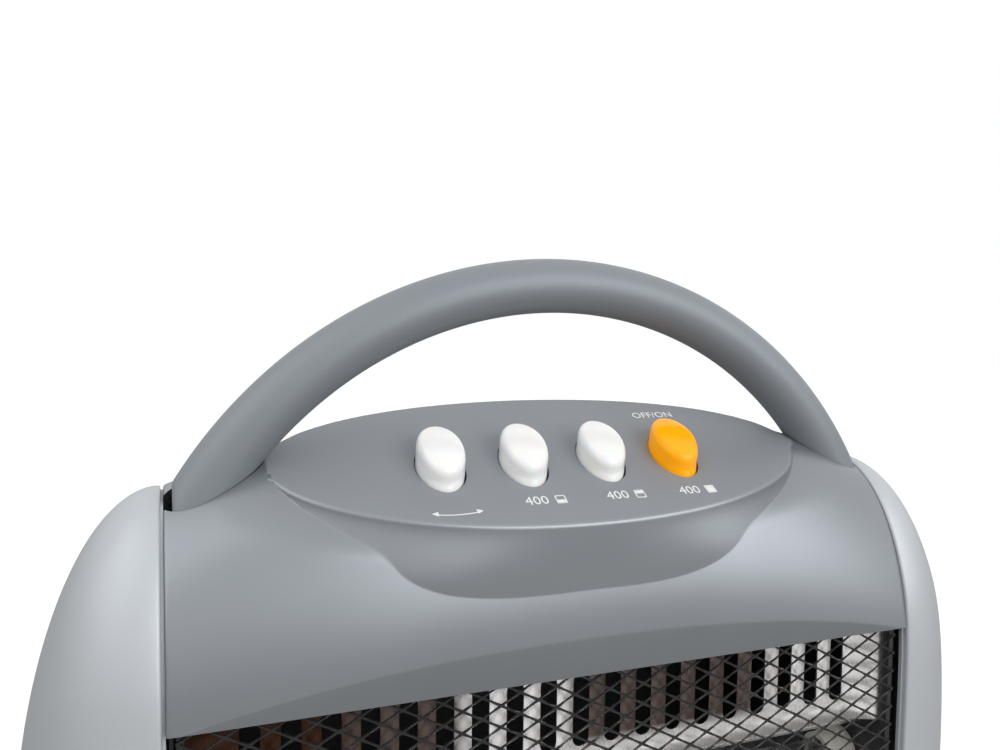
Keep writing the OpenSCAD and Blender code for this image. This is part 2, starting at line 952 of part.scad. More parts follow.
// Path of the wires from the tube ends into the housing
module loom_path(r) {
    for (s = [0, 1])
        mirror([s, 0, 0]) {
            translate([loom_x, tube_y, tube_zs[2] - 4])
                cylinder(r = r, h = loom_z - loom_bend - tube_zs[2] + 4, $fn = 32);
            translate([loom_x - loom_bend, tube_y, loom_z - loom_bend])
                rotate([90, 0, 0])
                    rotate_extrude(angle = 90, $fn = 64)
                        translate([loom_bend, 0])
                            circle(r = r, $fn = 32);
            translate([half_w - 20, tube_y, loom_z])
                rotate([0, 90, 0])
                    cylinder(r = r, h = loom_x - loom_bend - half_w + 20, $fn = 32);
        }
}

module half_space(s) {
    translate([s > 0 ? 0 : -body_w, -body_w / 2, 0])
        cube([body_w, body_w, crown_z]);
}

module wire_loom_right() {
    color(white)
        intersection() {
            loom_path(loom_r);
            half_space(1);
        }
}

module wire_loom_left() {
    color(white)
        intersection() {
            loom_path(loom_r);
            half_space(-1);
        }
}

// Screws between the swivel plate and the head
module swivel_holes(r) {
    for (a = [45:90:315])
        rotate([0, 0, a])
            translate([swivel_screw_at, 0, swivel_z - 1])
                cylinder(r = r, h = head_z + 12 - swivel_z, $fn = 48);
}

// Turning plate under the head with its hollow post
module swivel_plate() {
    color(black)
        difference() {
            union() {
                translate([0, 0, swivel_z])
                    cylinder(r = swivel_r, h = head_z - 0.1 - swivel_z, $fn = part_fn);
                translate([0, 0, post_low])
                    cylinder(r = post_r, h = head_z + wall - post_low, $fn = part_fn);
            }
            translate([0, 0, post_low - 1])
                cylinder(r = post_r - post_wall, h = head_z, $fn = part_fn);
            swivel_holes(screw_r + 0.1);
        }
}

module swivel_screws() {
    for (a = [45:90:315])
        rotate([0, 0, a])
            translate([swivel_screw_at, 0, head_z + wall])
                rotate([180, 0, 0])
                    screw(head_z + wall - swivel_z - 0.3);
}

// Slotted arm on the post, driven by the crank pin
module swing_arm() {
    far = crank_y + crank_throw;
    color(steel)
        translate([0, 0, arm_z])
            difference() {
                union() {
                    cylinder(r = post_r + 5, h = arm_t, $fn = part_fn);
                    translate([-arm_slot / 2 - 4, 0, 0])
                        cube([arm_slot + 8, far + 4, arm_t]);
                    translate([0, far + 4, 0])
                        cylinder(r = arm_slot / 2 + 4, h = arm_t, $fn = part_fn);
                }
                translate([0, 0, -1])
                    cylinder(r = post_r + 0.1, h = arm_t + 2, $fn = part_fn);
                translate([-arm_slot / 2, crank_y - 3, -1])
                    cube([arm_slot, far - crank_y + 5, arm_t + 2]);
                for (y = [crank_y - 3, far + 2])
                    translate([0, y, -1])
                        cylinder(r = arm_slot / 2, h = arm_t + 2, $fn = part_fn);
            }
}

// Nut that clamps the arm on the post
module arm_nut() {
    color(brass)
        translate([0, 0, post_low + 0.2])
            difference() {
                cylinder(r = post_r + 4, h = arm_z - 0.1 - post_low - 0.2, $fn = 6);
                translate([0, 0, -1])
                    cylinder(r = post_r + 0.1, h = 10, $fn = part_fn);
            }
}

// Slippery ring between the foot and the turning plate
module glide_ring() {
    color(white)
        translate([0, 0, base_top + 0.05])
            difference() {
                cylinder(r = glide_r, h = glide_t, $fn = part_fn);
                translate([0, 0, -1])
                    cylinder(r = glide_in, h = glide_t + 2, $fn = part_fn);
            }
}

// Side view of the foot from its axis outwards, smaller by cut
function foot_outline(cut) =
    let (r = foot_r - cut, top = base_top - cut, side = 20, n = 10)
    concat([[0, feet_h - 1], [r, feet_h - 1], [r, side]],
           [for (k = [1:n]) let (a = 90 * k / n)
               [r - foot_roll * (1 - cos(a)), side + (top - side) * sin(a)]],
           [[0, top]]);

// Round foot with the bearing sleeve of the swing post
module base_shell() {
    color(grey)
        difference() {
            union() {
                difference() {
                    rotate_extrude($fn = 180)
                        polygon(foot_outline(0));
                    rotate_extrude($fn = 180)
                        polygon(foot_outline(wall));
                }
                translate([0, 0, sleeve_low])
                    cylinder(r = post_r + sleeve_wall, h = base_top - sleeve_low, $fn = part_fn);
                intersection() {
                    translate([-12, foot_r - 8, feet_h])
                        cube([24, 8, 18]);
                    rotate_extrude($fn = 180)
                        polygon(foot_outline(0));
                }
                intersection() {
                    for (a = [45:90:315])
                        rotate([0, 0, a])
                            translate([base_screw_at, 0, plate_z + base_plate_t + 0.1])
                                cylinder(r = 4, h = base_top, $fn = 48);
                    rotate_extrude($fn = 180)
                        polygon(foot_outline(wall / 2));
                }
            }
            translate([0, 0, sleeve_low - 1])
                cylinder(r = post_r + run, h = 40, $fn = part_fn);
            translate([-foot_r, -foot_r, 0])
                cube([foot_d, foot_d, feet_h]);
            translate([-10, cord_y, feet_h - 1])
                cube([20, 10, 19]);
            translate([0, cord_y + 1, cord_z])
                rotate([90, 0, 0])
                    cylinder(r = bush_r + 0.1, h = 20, $fn = 64);
            for (a = [45:90:315])
                rotate([0, 0, a])
                    translate([base_screw_at, 0, 0])
                        cylinder(r = screw_r + 0.1, h = plate_z + long_screw + 2, $fn = 48);
        }
}

// Steel bottom of the foot
module base_plate() {
    color(black)
        difference() {
            translate([0, 0, plate_z])
                cylinder(r = foot_r - wall - seam, h = base_plate_t, $fn = 180);
            for (a = [45:90:315])
                rotate([0, 0, a])
                    translate([base_screw_at, 0, 0])
                        cylinder(r = screw_r + seat, h = 20, $fn = 48);
            translate([0, tip_y, 0])
                cylinder(r = tip_stem + seam, h = 20, $fn = 48);
            for (s = [-1, 1])
                translate([s * motor_screw_at, crank_y, 0])
                    cylinder(r = screw_r + seat, h = 20, $fn = 48);
            translate([-13, foot_r - 9, 0])
                cube([26, 20, 20]);
        }
}

module base_screws() {
    for (a = [45:90:315])
        rotate([0, 0, a])
            translate([base_screw_at, 0, plate_z])
                screw(long_screw);
}

// Soft feet under the bottom plate
module rubber_feet() {
    color(black)
        for (a = [0:90:270])
            rotate([0, 0, a])
                translate([foot_at, 0, 0])
                    cylinder(r = 9, h = feet_h - 0.05, $fn = 64);
}

// Bush that lines the cord inlet at the back of the foot
module cord_bush() {
    color(black)
        translate([0, 0, cord_z])
            rotate([-90, 0, 0])
                difference() {
                    union() {
                        translate([0, 0, foot_r - 11])
                            cylinder(r = bush_r, h = cord_y - foot_r + 11 + 0.2, $fn = 64);
                        translate([0, 0, cord_y + 0.1])
                            cylinder(r = bush_r + 2, h = 1.6, $fn = 64);
                    }
                    cylinder(r = cord_bore / 2, h = foot_r + 10, $fn = 64);
                }
}

// Geared motor that drives the crank
module swing_motor() {
    color(steel)
        difference() {
            union() {
                translate([0, crank_y, motor_z])
                    cylinder(r = motor_r, h = motor_top - motor_z, $fn = part_fn);
                translate([-motor_r - ear_l, crank_y - ear_w / 2, motor_z])
                    cube([2 * (motor_r + ear_l), ear_w, ear_t]);
            }
            translate([0, crank_y, motor_top - 8])
                cylinder(r = shaft_r + run, h = 20, $fn = 64);
            for (s = [-1, 1])
                translate([s * motor_screw_at, crank_y, 0])
                    cylinder(r = screw_r + 0.1, h = 20, $fn = 48);
        }
}

module motor_screws() {
    for (s = [-1, 1])
        translate([s * motor_screw_at, crank_y, plate_z])
            screw(6);
}

module motor_shaft() {
    color(steel)
        translate([0, crank_y, motor_top - 7.5])
            cylinder(r = shaft_r, h = crank_z + crank_t - motor_top + 7.5, $fn = 64);
}

// Crank disc with the pin that runs in the slot of the arm
module motor_crank() {
    color(white)
        difference() {
            union() {
                translate([0, crank_y, crank_z])
                    cylinder(r = crank_throw + 4, h = crank_t, $fn = part_fn);
                translate([0, crank_y + crank_throw, crank_z])
                    cylinder(r = pin_r, h = arm_z + arm_t + 0.6 - crank_z, $fn = 48);
            }
            translate([0, crank_y, crank_z - 1])
                cylinder(r = shaft_r + 0.02, h = crank_t + 2, $fn = 64);
        }
}

collar_z = 12;
chamber_r = 5.6;
chamber_top = tip_top - 2;

// Tip-over switch above the plunger
module tip_switch() {
    color(black)
        difference() {
            translate([-tip_r, tip_y - tip_r, motor_z])
                cube([2 * tip_r, 2 * tip_r, tip_top - motor_z]);
            translate([0, tip_y, 0])
                cylinder(r = tip_stem + run, h = 20, $fn = 64);
            translate([0, tip_y, motor_z + 2])
                cylinder(r = chamber_r, h = chamber_top - motor_z - 2, $fn = 64);
        }
}

// Plunger that the floor holds up while the heater stands
module tip_plunger() {
    color(white)
        translate([0, tip_y, 0]) {
            translate([0, 0, 0.1])
                cylinder(r = 5.5, h = 2.4, $fn = 48);
            translate([0, 0, 1])
                cylinder(r = tip_stem, h = 16.5, $fn = 48);
            translate([0, 0, collar_z])
                cylinder(r = 5.2, h = 1.5, $fn = 48);
        }
}

spring_wire = 0.4;
spring_r = 4.3;
spring_turns = 5;
spring_low = collar_z + 1.5 + spring_wire + 0.15;
spring_high = chamber_top - spring_wire - 0.15;

// Coil spring that pushes the plunger out
module tip_spring() {
    rings = spring_turns * 12;
    sides = 6;
    rise = (spring_high - spring_low) / rings;
    points = [for (i = [0:rings]) let (a = 360 * i / 12, z = spring_low + rise * i)
        for (j = [0:sides - 1]) let (b = 360 * j / sides, r = spring_r + spring_wire * cos(b))
            [r * cos(a), r * sin(a), z + spring_wire * sin(b)]];
    faces = concat(
        [[for (j = [0:sides - 1]) j]],
        [[for (j = [sides - 1:-1:0]) rings * sides + j]],
        [for (i = [0:rings - 1]) for (j = [0:sides - 1])
            let (a = i * sides + j, b = i * sides + (j + 1) % sides)
            each [[a, a + sides, b], [b, a + sides, b + sides]]]);
    color(steel)
        translate([0, tip_y, 0])
            polyhedron(points, faces, convexity = 10);
}

top_housing();
lower_housing();
rear_cover();
side_cover_left();
side_cover_right();
handle();
handle_screws();
rear_screws();
cover_screws();
grille_mesh();
grille_frame();
reflector();
side_plate_left();
side_plate_right();
heat_shield();
quartz_tube_top();
quartz_tube_middle();
quartz_tube_bottom();
filament_top();
filament_middle();
filament_bottom();
ceramic_caps_top();
ceramic_caps_middle();
ceramic_caps_bottom();
cap_clips();
swing_rocker();
heat_rocker_1();
heat_rocker_2();
power_rocker();
swing_switch();
heat_switch_1();
heat_switch_2();
power_switch();
switch_tabs();
power_lamp();
terminal_block();
thermal_cutout();
wire_loom_left();
wire_loom_right();
swivel_plate();
swivel_screws();
swing_arm();
arm_nut();
glide_ring();
base_shell();
base_plate();
base_screws();
rubber_feet();
cord_bush();
swing_motor();
motor_screws();
motor_shaft();
motor_crank();
tip_switch();
tip_plunger();
tip_spring();
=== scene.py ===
"""Looks of the halogen heater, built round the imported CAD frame. The helpers work in millimetres."""

import json
import math

import bmesh
import bpy
import numpy as np
from mathutils import Matrix, Vector


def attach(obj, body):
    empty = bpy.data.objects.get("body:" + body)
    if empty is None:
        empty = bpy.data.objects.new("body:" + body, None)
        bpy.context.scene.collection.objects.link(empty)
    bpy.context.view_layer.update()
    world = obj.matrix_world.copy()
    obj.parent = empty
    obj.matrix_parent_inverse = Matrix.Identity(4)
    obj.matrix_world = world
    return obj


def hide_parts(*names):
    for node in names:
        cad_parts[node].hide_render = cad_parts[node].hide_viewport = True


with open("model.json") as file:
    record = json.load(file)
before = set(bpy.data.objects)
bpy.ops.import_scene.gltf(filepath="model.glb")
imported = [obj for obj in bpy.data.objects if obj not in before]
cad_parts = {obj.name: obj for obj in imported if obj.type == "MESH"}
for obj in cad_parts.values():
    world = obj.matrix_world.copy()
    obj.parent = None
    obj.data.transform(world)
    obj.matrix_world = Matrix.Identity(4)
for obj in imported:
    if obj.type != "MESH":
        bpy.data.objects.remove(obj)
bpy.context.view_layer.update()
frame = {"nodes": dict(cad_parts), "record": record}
nodes = frame["nodes"]
scene = bpy.context.scene
MM = 0.001
UPRIGHT = Matrix.Rotation(math.pi / 2, 4, "X")

# Sizes in millimetres, most of them shared with the CAD source
HALF_W, HALF_D = 118.0, 43.8
AXIS_Z, CROWN_R, ROLL, ROLL_POWER, ROLL_RISE = 24.0, 320.0, 75.0, 2.4, 2.05
WALL, SIDE_WALL, SEAM = 2.4, 2.0, 0.3
PANEL_TILT, PANEL_Y, PANEL_Z = math.radians(28.8), -10.0, 330.0
POD_X, POD_Y, POD_A, POD_B, POD_BACK = -1.5, -12.0, 90.0, 30.0, 25.0
LEDGE_TILT, LEDGE_Y, LEDGE_Z = math.radians(41.3), -18.0, 325.3
BROW_TILT, BROW_Y, GRILLE_TOP, GRILLE_LOW = math.radians(7.6), 41.9, 267.3, 84.0
HEAD_Z, EDGE_R, SPLIT_Y = 50.0, 12.0, 13.0
LEDGE_R, POD_R, BROW_R, CHIN_R, SIDE_R = 2.5, 0.05, 0.06, 0.8, 0.6
MID_Z = (GRILLE_TOP + GRILLE_LOW) / 2
COVER_X, COVER_W, COVER_MID, COVER_TAPER = 118.8, 38.5, 215.0, 190.0
COVER_TOP = AXIS_Z + math.sqrt(CROWN_R ** 2 - HALF_W ** 2)
HANDLE_R, HANDLE_Z, HANDLE_Y, GRIP_R, SHELF_Z = 127.0, 254.13, -10.0, 8.5, 314.0
ROCKER_Y, ROCKER_PITCH, ROCKER_SHIFT, ROCKER_W, ROCKER_H = -18.0, 26.7, -1.0, 14.6, 9.1
ROCKER_Z = PANEL_Z + (ROCKER_Y - PANEL_Y) * math.tan(PANEL_TILT)
ROCKERS = ["swing_rocker", "heat_rocker_1", "heat_rocker_2", "power_rocker"]
ROCKER_X = [(n - 1.5) * ROCKER_PITCH + ROCKER_SHIFT for n in range(4)]
PIVOT_DEPTH, REST_TILT, CAP_FRONT, CAP_REAR, CAP_GAP, CAP_POINTS = 6.0, math.radians(-6), 9.7, 12.9, 0.42, 96
MESH_Y, FLANGE_Y, TUBE_Y, TUBE_PITCH = -39.2, -30.0, -14.0, 36.0
MESH_T, STRAND_W, KNUCKLE_W, STRAND_TILT, KNUCKLE_TILT = 0.8, 0.5, 0.85, 0.55, 0.25
GRILLE_X, GRILLE_LAP, RIM_T, RIM_X = HALF_W - SIDE_WALL - SEAM, 3, 3.0, 113.7
TROUGH_R, TROUGH_Y, SHEET, FOLD = 56.2, -44.2, 0.8, 1.6
SLOTS, SLOT_PITCH, SLOT_W, SLOT_SHIFT, SLOT_NEAR, SLOT_FAR = 19, 10.9, 5.4, 0.8, 4, 27.6
REFLECTOR_X = HALF_W - 1.8 - SEAM
BEND_X, BEND = REFLECTOR_X - 13, 4.2
VENT_R, VENT_HALF, VENT_STEP, VENT_PITCH = 2.25, 26.75, 72.0, 11.0
BOSS_X, BOSS_ZS = HALF_W - 23, (GRILLE_TOP + 22, HEAD_Z + 20)
SCREW_WELL_R, SCREW_R, CUP_R = 3.7, 1.9, 5.6
SWIVEL_R, POST_R = 44.3, 14.3
FOOT_R, FOOT_TOP, FEET_H, BUSH_Z = 110.0, 45.0, 4.0, 12.5
COIL_R, COIL_WIRE, COIL_TURNS, SPACERS = 1.6, 0.28, 150, 8
INK, LINE_W, MARK_Y = 0.03, 0.35, -16.4


# Mesh helpers
def new_object(name, verts, faces, smooth=True):
    """A mesh object from points in millimetres."""
    mesh = bpy.data.meshes.new(name)
    mesh.from_pydata((np.asarray(verts, float) * MM).tolist(), [], [tuple(int(i) for i in f) for f in faces])
    mesh.polygons.foreach_set("use_smooth", [smooth] * len(mesh.polygons))
    mesh.update()
    obj = bpy.data.objects.new(name, mesh)
    scene.collection.objects.link(obj)
    return obj


def grid_faces(n, m, close_n=False, close_m=False, start=0):
    """Quads between n rings of m points each."""
    faces = []
    for i in range(n if close_n else n - 1):
        for j in range(m if close_m else m - 1):
            a, b = i * m + j, ((i + 1) % n) * m + j
            c, d = ((i + 1) % n) * m + (j + 1) % m, i * m + (j + 1) % m
            faces.append((start + a, start + b, start + c, start + d))
    return faces


def join(parts):
    """Points and faces of several meshes as one."""
    verts, faces = [], []
    for v, f in parts:
        k = len(verts)
        verts.extend(np.asarray(v, float).tolist())
        faces.extend([tuple(int(i) + k for i in face) for face in f])
    return verts, faces


def mirror_x(part):
    v, f = part
    v = np.asarray(v, float) * np.array([-1, 1, 1])
    return v, [tuple(reversed(face)) for face in f]


def moved(part, matrix):
    v, f = part
    m = np.array(matrix)
    return np.asarray(v, float) @ m[:3, :3].T + m[:3, 3], f


def box_part(lo, hi):
    v = [(x, y, z) for x in (lo[0], hi[0]) for y in (lo[1], hi[1]) for z in (lo[2], hi[2])]
    f = [(0, 1, 3, 2), (4, 6, 7, 5), (0, 4, 5, 1), (2, 3, 7, 6), (0, 2, 6, 4), (1, 5, 7, 3)]
    return v, f


def prism_part(outline, z0, z1):
    """Closed prism over a flat outline that runs anticlockwise."""
    n = len(outline)
    v = [(x, y, z0) for x, y in outline] + [(x, y, z1) for x, y in outline]
    f = [tuple(range(n - 1, -1, -1)), tuple(range(n, 2 * n))]
    f += [(i, (i + 1) % n, n + (i + 1) % n, n + i) for i in range(n)]
    return v, f


def circle(r, n, x=0.0, y=0.0):
    return [(x + r * math.cos(2 * math.pi * k / n), y + r * math.sin(2 * math.pi * k / n)) for k in range(n)]


def revolve_part(profile, n=96, closed=False):
    """Surface of revolution about Z from (radius, z) points, with poles where the radius is nothing."""
    rings = [[(r * math.cos(a), r * math.sin(a), z) for r, z in profile]
             for a in np.linspace(0, 2 * math.pi, n, endpoint=False)]
    v = [p for ring in rings for p in ring]
    return v, grid_faces(n, len(profile), close_n=True, close_m=closed)


def tube_part(path, r, sides=16):
    """Round tube round a line of points."""
    path = np.asarray(path, float)
    tangent = np.gradient(path, axis=0)
    tangent /= np.linalg.norm(tangent, axis=1)[:, None]
    normal = np.cross(tangent[0], [0.0, 1.0, 0.001])
    rings = []
    for p, t in zip(path, tangent):
        normal = normal - t * (normal @ t)
        normal /= np.linalg.norm(normal)
        side = np.cross(t, normal)
        a = np.linspace(0, 2 * math.pi, sides, endpoint=False)
        rings.append(p + r * (np.outer(np.cos(a), normal) + np.outer(np.sin(a), side)))
    v = np.concatenate(rings)
    f = grid_faces(len(path), sides, close_m=True)
    return v, f + [tuple(range(sides)), tuple(range(len(v) - 1, len(v) - 1 - sides, -1))]


def clean(obj, angle=35.0, merge=0.002):
    """Merge doubles, turn faces outwards and keep edges over the angle sharp."""
    bm = bmesh.new()
    bm.from_mesh(obj.data)
    bmesh.ops.remove_doubles(bm, verts=bm.verts, dist=merge * MM)
    bmesh.ops.recalc_face_normals(bm, faces=bm.faces)
    limit = math.radians(angle)
    for f in bm.faces:
        f.smooth = True
    for e in bm.edges:
        e.smooth = len(e.link_faces) == 2 and e.calc_face_angle(0.0) < limit
    bm.to_mesh(obj.data)
    bm.free()
    return obj


def bake_modifiers(obj):
    """Replace the object's mesh by what its modifiers make of it."""
    graph = bpy.context.evaluated_depsgraph_get()
    made = bpy.data.meshes.new_from_object(obj.evaluated_get(graph))
    old = obj.data
    obj.modifiers.clear()
    obj.data = made
    bpy.data.meshes.remove(old)
    return obj


def cut(obj, *cutters):
    """Take closed solids away from an object."""
    for part in cutters:
        tool = clean(new_object("tool", *part))
        mod = obj.modifiers.new("cut", "BOOLEAN")
        mod.operation, mod.solver, mod.object = "DIFFERENCE", "EXACT", tool
        bake_modifiers(obj)
        bpy.data.objects.remove(tool)
    return obj


# Surfaces given by fields that are negative inside, in millimetres
def round_max(a, b, r):
    """Meet of two solids whose shared edge is rounded with radius r."""
    return np.minimum(-r, np.maximum(a, b)) + np.hypot(np.maximum(a + r, 0), np.maximum(b + r, 0))


def round_min(a, b, r):
    return -round_max(-a, -b, r)


def roll_y(r, inset=0.0):
    """Half depth of the rolled crown at a radius from its axis."""
    low = CROWN_R - ROLL
    t = np.clip((np.asarray(r, float) - low) / (CROWN_R - inset - low), 0, 1)
    return (HALF_D - inset) * (1 - t ** ROLL_RISE) ** (1 / ROLL_POWER)


def crown_field(x, y, z, inset=0.0):
    """Crown that is bent round an axis along Y and rolls off to the front and back."""
    low = CROWN_R - ROLL
    a, b = HALF_D - inset, CROWN_R - inset - low
    u, v = np.abs(y) / a, np.maximum(np.hypot(x, z - AXIS_Z) - low, 0) / b
    s = np.maximum(u ** ROLL_POWER + v ** ROLL_RISE, 1e-9)
    rate = s ** (1 / ROLL_POWER - 1)
    rise = ROLL_RISE / ROLL_POWER * v ** (ROLL_RISE - 1)
    slope = np.hypot(rate * u ** (ROLL_POWER - 1) / a, rate * rise / b)
    return (s ** (1 / ROLL_POWER) - 1) / np.maximum(slope, 1e-5)


def pod_field(x, y, z, inset=0.0):
    """Pod wall whose outline is an ellipse at the rim and grows fuller below it."""
    a, b = POD_A - inset, np.where(y > POD_Y, POD_BACK, POD_B) - inset
    rim_power, fuller, fuller_left, full_depth, left_x = 2.03, 0.85, 0.2, 17, 45
    low = np.clip(-panel_field(y, z) / full_depth, 0, 1)
    power = rim_power + (fuller + fuller_left * np.clip(-x / left_x, 0, 1)) * low * low * (3 - 2 * low)
    u, v = np.maximum(np.abs(x - POD_X), 0.01) / a, np.maximum(np.abs(y - POD_Y), 0.01) / b
    e = np.maximum((u ** power + v ** power) ** (1 / power), 1e-6)
    slope = e ** (1 - power) * np.hypot(u ** (power - 1) / a, v ** (power - 1) / b)
    return (e - 1) / np.maximum(slope, 1e-6)


def panel_field(y, z, inset=0.0):
    return (z - PANEL_Z) * math.cos(PANEL_TILT) - (y - PANEL_Y) * math.sin(PANEL_TILT) + inset


def ledge_field(y, z, inset=0.0):
    return (z - LEDGE_Z) * math.cos(LEDGE_TILT) - (y - LEDGE_Y) * math.sin(LEDGE_TILT) + inset


def brow_field(y, z, inset=0.0):
    return -(y + BROW_Y - inset) * math.cos(BROW_TILT) - (z - GRILLE_TOP) * math.sin(BROW_TILT)


def side_limit(x, inset):
    return np.abs(x) - (HALF_W - (SIDE_WALL if inset else 0))


def top_field(x, y, z, inset=0.0):
    """Crown moulding: crown and end ledges, joined with the pod and cut by the panel, the brow and the sides."""
    body = round_max(crown_field(x, y, z, inset), ledge_field(y, z, inset), LEDGE_R)
    body = round_min(body, pod_field(x, y, z, inset), POD_R)
    rim = POD_R + 0.75 * np.clip((-8 - y) / 12, 0, 1)
    body = round_max(body, panel_field(y, z, inset), rim)
    body = round_max(body, brow_field(y, z, inset), BROW_R)
    return round_max(body, side_limit(x, inset), SIDE_R)


def rear_field(x, y, z, inset=0.0):
    body = round_max(crown_field(x, y, z, inset), HEAD_Z + inset - z, EDGE_R - inset)
    return round_max(body, side_limit(x, inset), SIDE_R)


def chin_field(x, y, z, inset=0.0):
    body = round_max(-y - HALF_D + inset, HEAD_Z + inset - z, EDGE_R - inset)
    body = round_max(body, -y - BROW_Y + inset, CHIN_R)
    return round_max(body, side_limit(x, inset), SIDE_R)


def ray_points(field, xs, angles, axis, facing):
    """Where the field's surface lies on rays from a line along X: one row of points for each x."""
    x = np.asarray(xs, float)[:, None]
    dy, dz = facing * np.cos(angles), np.sin(angles)
    lo, reach, halvings = np.zeros(np.broadcast(x, angles).shape), 240.0, 34
    hi = lo + reach
    for _ in range(halvings):
        mid = (lo + hi) / 2
        inside = field(x, axis[0] + dy * mid, axis[1] + dz * mid) < 0
        lo, hi = np.where(inside, mid, lo), np.where(inside, hi, mid)
    return np.stack([np.broadcast_to(x, lo.shape), axis[0] + dy * lo, axis[1] + dz * lo], axis=-1)


def star_part(points, axis):
    """Closed solid between rows of points and the line along X that they were seen from."""
    n, m = points.shape[:2]
    v = points.reshape(-1, 3).tolist() + [(float(points[i, 0, 0]), axis[0], axis[1]) for i in range(n)]
    f = grid_faces(n, m)
    base = n * m
    for i in range(n - 1):
        f.append((base + i, base + i + 1, (i + 1) * m, i * m))
        f.append((base + i + 1, base + i, i * m + m - 1, (i + 1) * m + m - 1))
    f += [(base, j, j + 1) for j in range(m - 1)]
    f += [(base + n - 1, (n - 1) * m + j + 1, (n - 1) * m + j) for j in range(m - 1)]
    return v, f


def spread(start, end, count):
    """Values from start to end, closer together at both ends."""
    t, crowding = np.linspace(0, 1, count), 0.8
    return start + (end - start) * (t - crowding * np.sin(2 * math.pi * t) / (2 * math.pi))


def columns(half, count):
    """Places along X, even in the middle and close together in the rounded side edges."""
    margin, width = 0.01, 0.8
    edge = half - margin - width * (1 - np.sin(np.linspace(math.pi / 2, 0.25, 6)))
    return np.concatenate([-edge[:-1], np.linspace(-edge[-1], edge[-1], count), edge[-2::-1]])


# Materials
def noise(tree, coords, scale, detail=2.0, rough=0.5):
    n = tree.nodes.new("ShaderNodeTexNoise")
    n.inputs["Scale"].default_value = scale
    n.inputs["Detail"].default_value = detail
    n.inputs["Roughness"].default_value = rough
    tree.links.new(coords, n.inputs["Vector"])
    return n.outputs["Fac"]


def ramp(tree, value, stops):
    r = tree.nodes.new("ShaderNodeValToRGB")
    elements = r.color_ramp.elements
    while len(elements) < len(stops):
        elements.new(0.5)
    for e, (position, colour) in zip(elements, stops):
        e.position = position
        e.color = (*colour, 1.0)
    tree.links.new(value, r.inputs["Fac"])
    return r.outputs["Color"]


def span(tree, value, lo, hi, to_lo, to_hi):
    m = tree.nodes.new("ShaderNodeMapRange")
    for key, x in zip(("From Min", "From Max", "To Min", "To Max"), (lo, hi, to_lo, to_hi)):
        m.inputs[key].default_value = x
    tree.links.new(value, m.inputs["Value"])
    return m.outputs["Result"]


def combine(tree, operation, *values):
    """Math node of sockets and numbers."""
    m = tree.nodes.new("ShaderNodeMath")
    m.operation = operation
    for socket, value in zip(m.inputs, values):
        if isinstance(value, (int, float)):
            socket.default_value = value
        else:
            tree.links.new(value, socket)
    return m.outputs[0]


def object_axes(tree):
    split = tree.nodes.new("ShaderNodeSeparateXYZ")
    tree.links.new(tree.nodes.new("ShaderNodeTexCoord").outputs["Object"], split.inputs[0])
    return split.outputs


def scaled(colour, k):
    return tuple(min(1.0, c * k) for c in colour)


def material(name, colour, rough=0.4, metal=0.0, vary=0.06, cloud=60.0, grain=2500.0, bump=0.05,
             bump_size=0.00005, coat=0.0, coat_rough=0.1, stretch=None, rough_vary=0.06, transmission=0.0,
             ior=1.5, specular=0.5, glow=None, subsurface=0.0):
    """Procedural surface: clouded colour, uneven roughness and a fine relief."""
    mat = bpy.data.materials.new(name)
    mat.use_nodes = True
    tree = mat.node_tree
    bsdf = tree.nodes["Principled BSDF"]
    coords = tree.nodes.new("ShaderNodeTexCoord").outputs["Object"]
    if stretch:
        mapping = tree.nodes.new("ShaderNodeMapping")
        mapping.inputs["Scale"].default_value = stretch
        tree.links.new(coords, mapping.inputs["Vector"])
        fine_coords = mapping.outputs["Vector"]
    else:
        fine_coords = coords
    broad = noise(tree, coords, cloud, 3.0)
    fine = noise(tree, fine_coords, grain, 2.0, 0.6)
    shades = [(0.35, scaled(colour, 1 - vary)), (0.65, scaled(colour, 1 + vary / 2))]
    tree.links.new(ramp(tree, broad, shades), bsdf.inputs["Base Color"])
    tree.links.new(span(tree, fine, 0.3, 0.7, max(0.0, rough - rough_vary), min(1.0, rough + rough_vary)),
                   bsdf.inputs["Roughness"])
    relief = tree.nodes.new("ShaderNodeBump")
    relief.inputs["Strength"].default_value = bump
    relief.inputs["Distance"].default_value = bump_size
    tree.links.new(fine, relief.inputs["Height"])
    tree.links.new(relief.outputs["Normal"], bsdf.inputs["Normal"])
    bsdf.inputs["Metallic"].default_value = metal
    bsdf.inputs["Coat Weight"].default_value = coat
    bsdf.inputs["Coat Roughness"].default_value = coat_rough
    bsdf.inputs["Transmission Weight"].default_value = transmission
    bsdf.inputs["IOR"].default_value = ior
    bsdf.inputs["Specular IOR Level"].default_value = specular
    bsdf.inputs["Subsurface Weight"].default_value = subsurface
    if subsurface:
        bsdf.inputs["Subsurface Radius"].default_value = (0.004, 0.002, 0.001)
    if glow:
        bsdf.inputs["Emission Color"].default_value = (*glow[0], 1.0)
        bsdf.inputs["Emission Strength"].default_value = glow[1]
    return mat


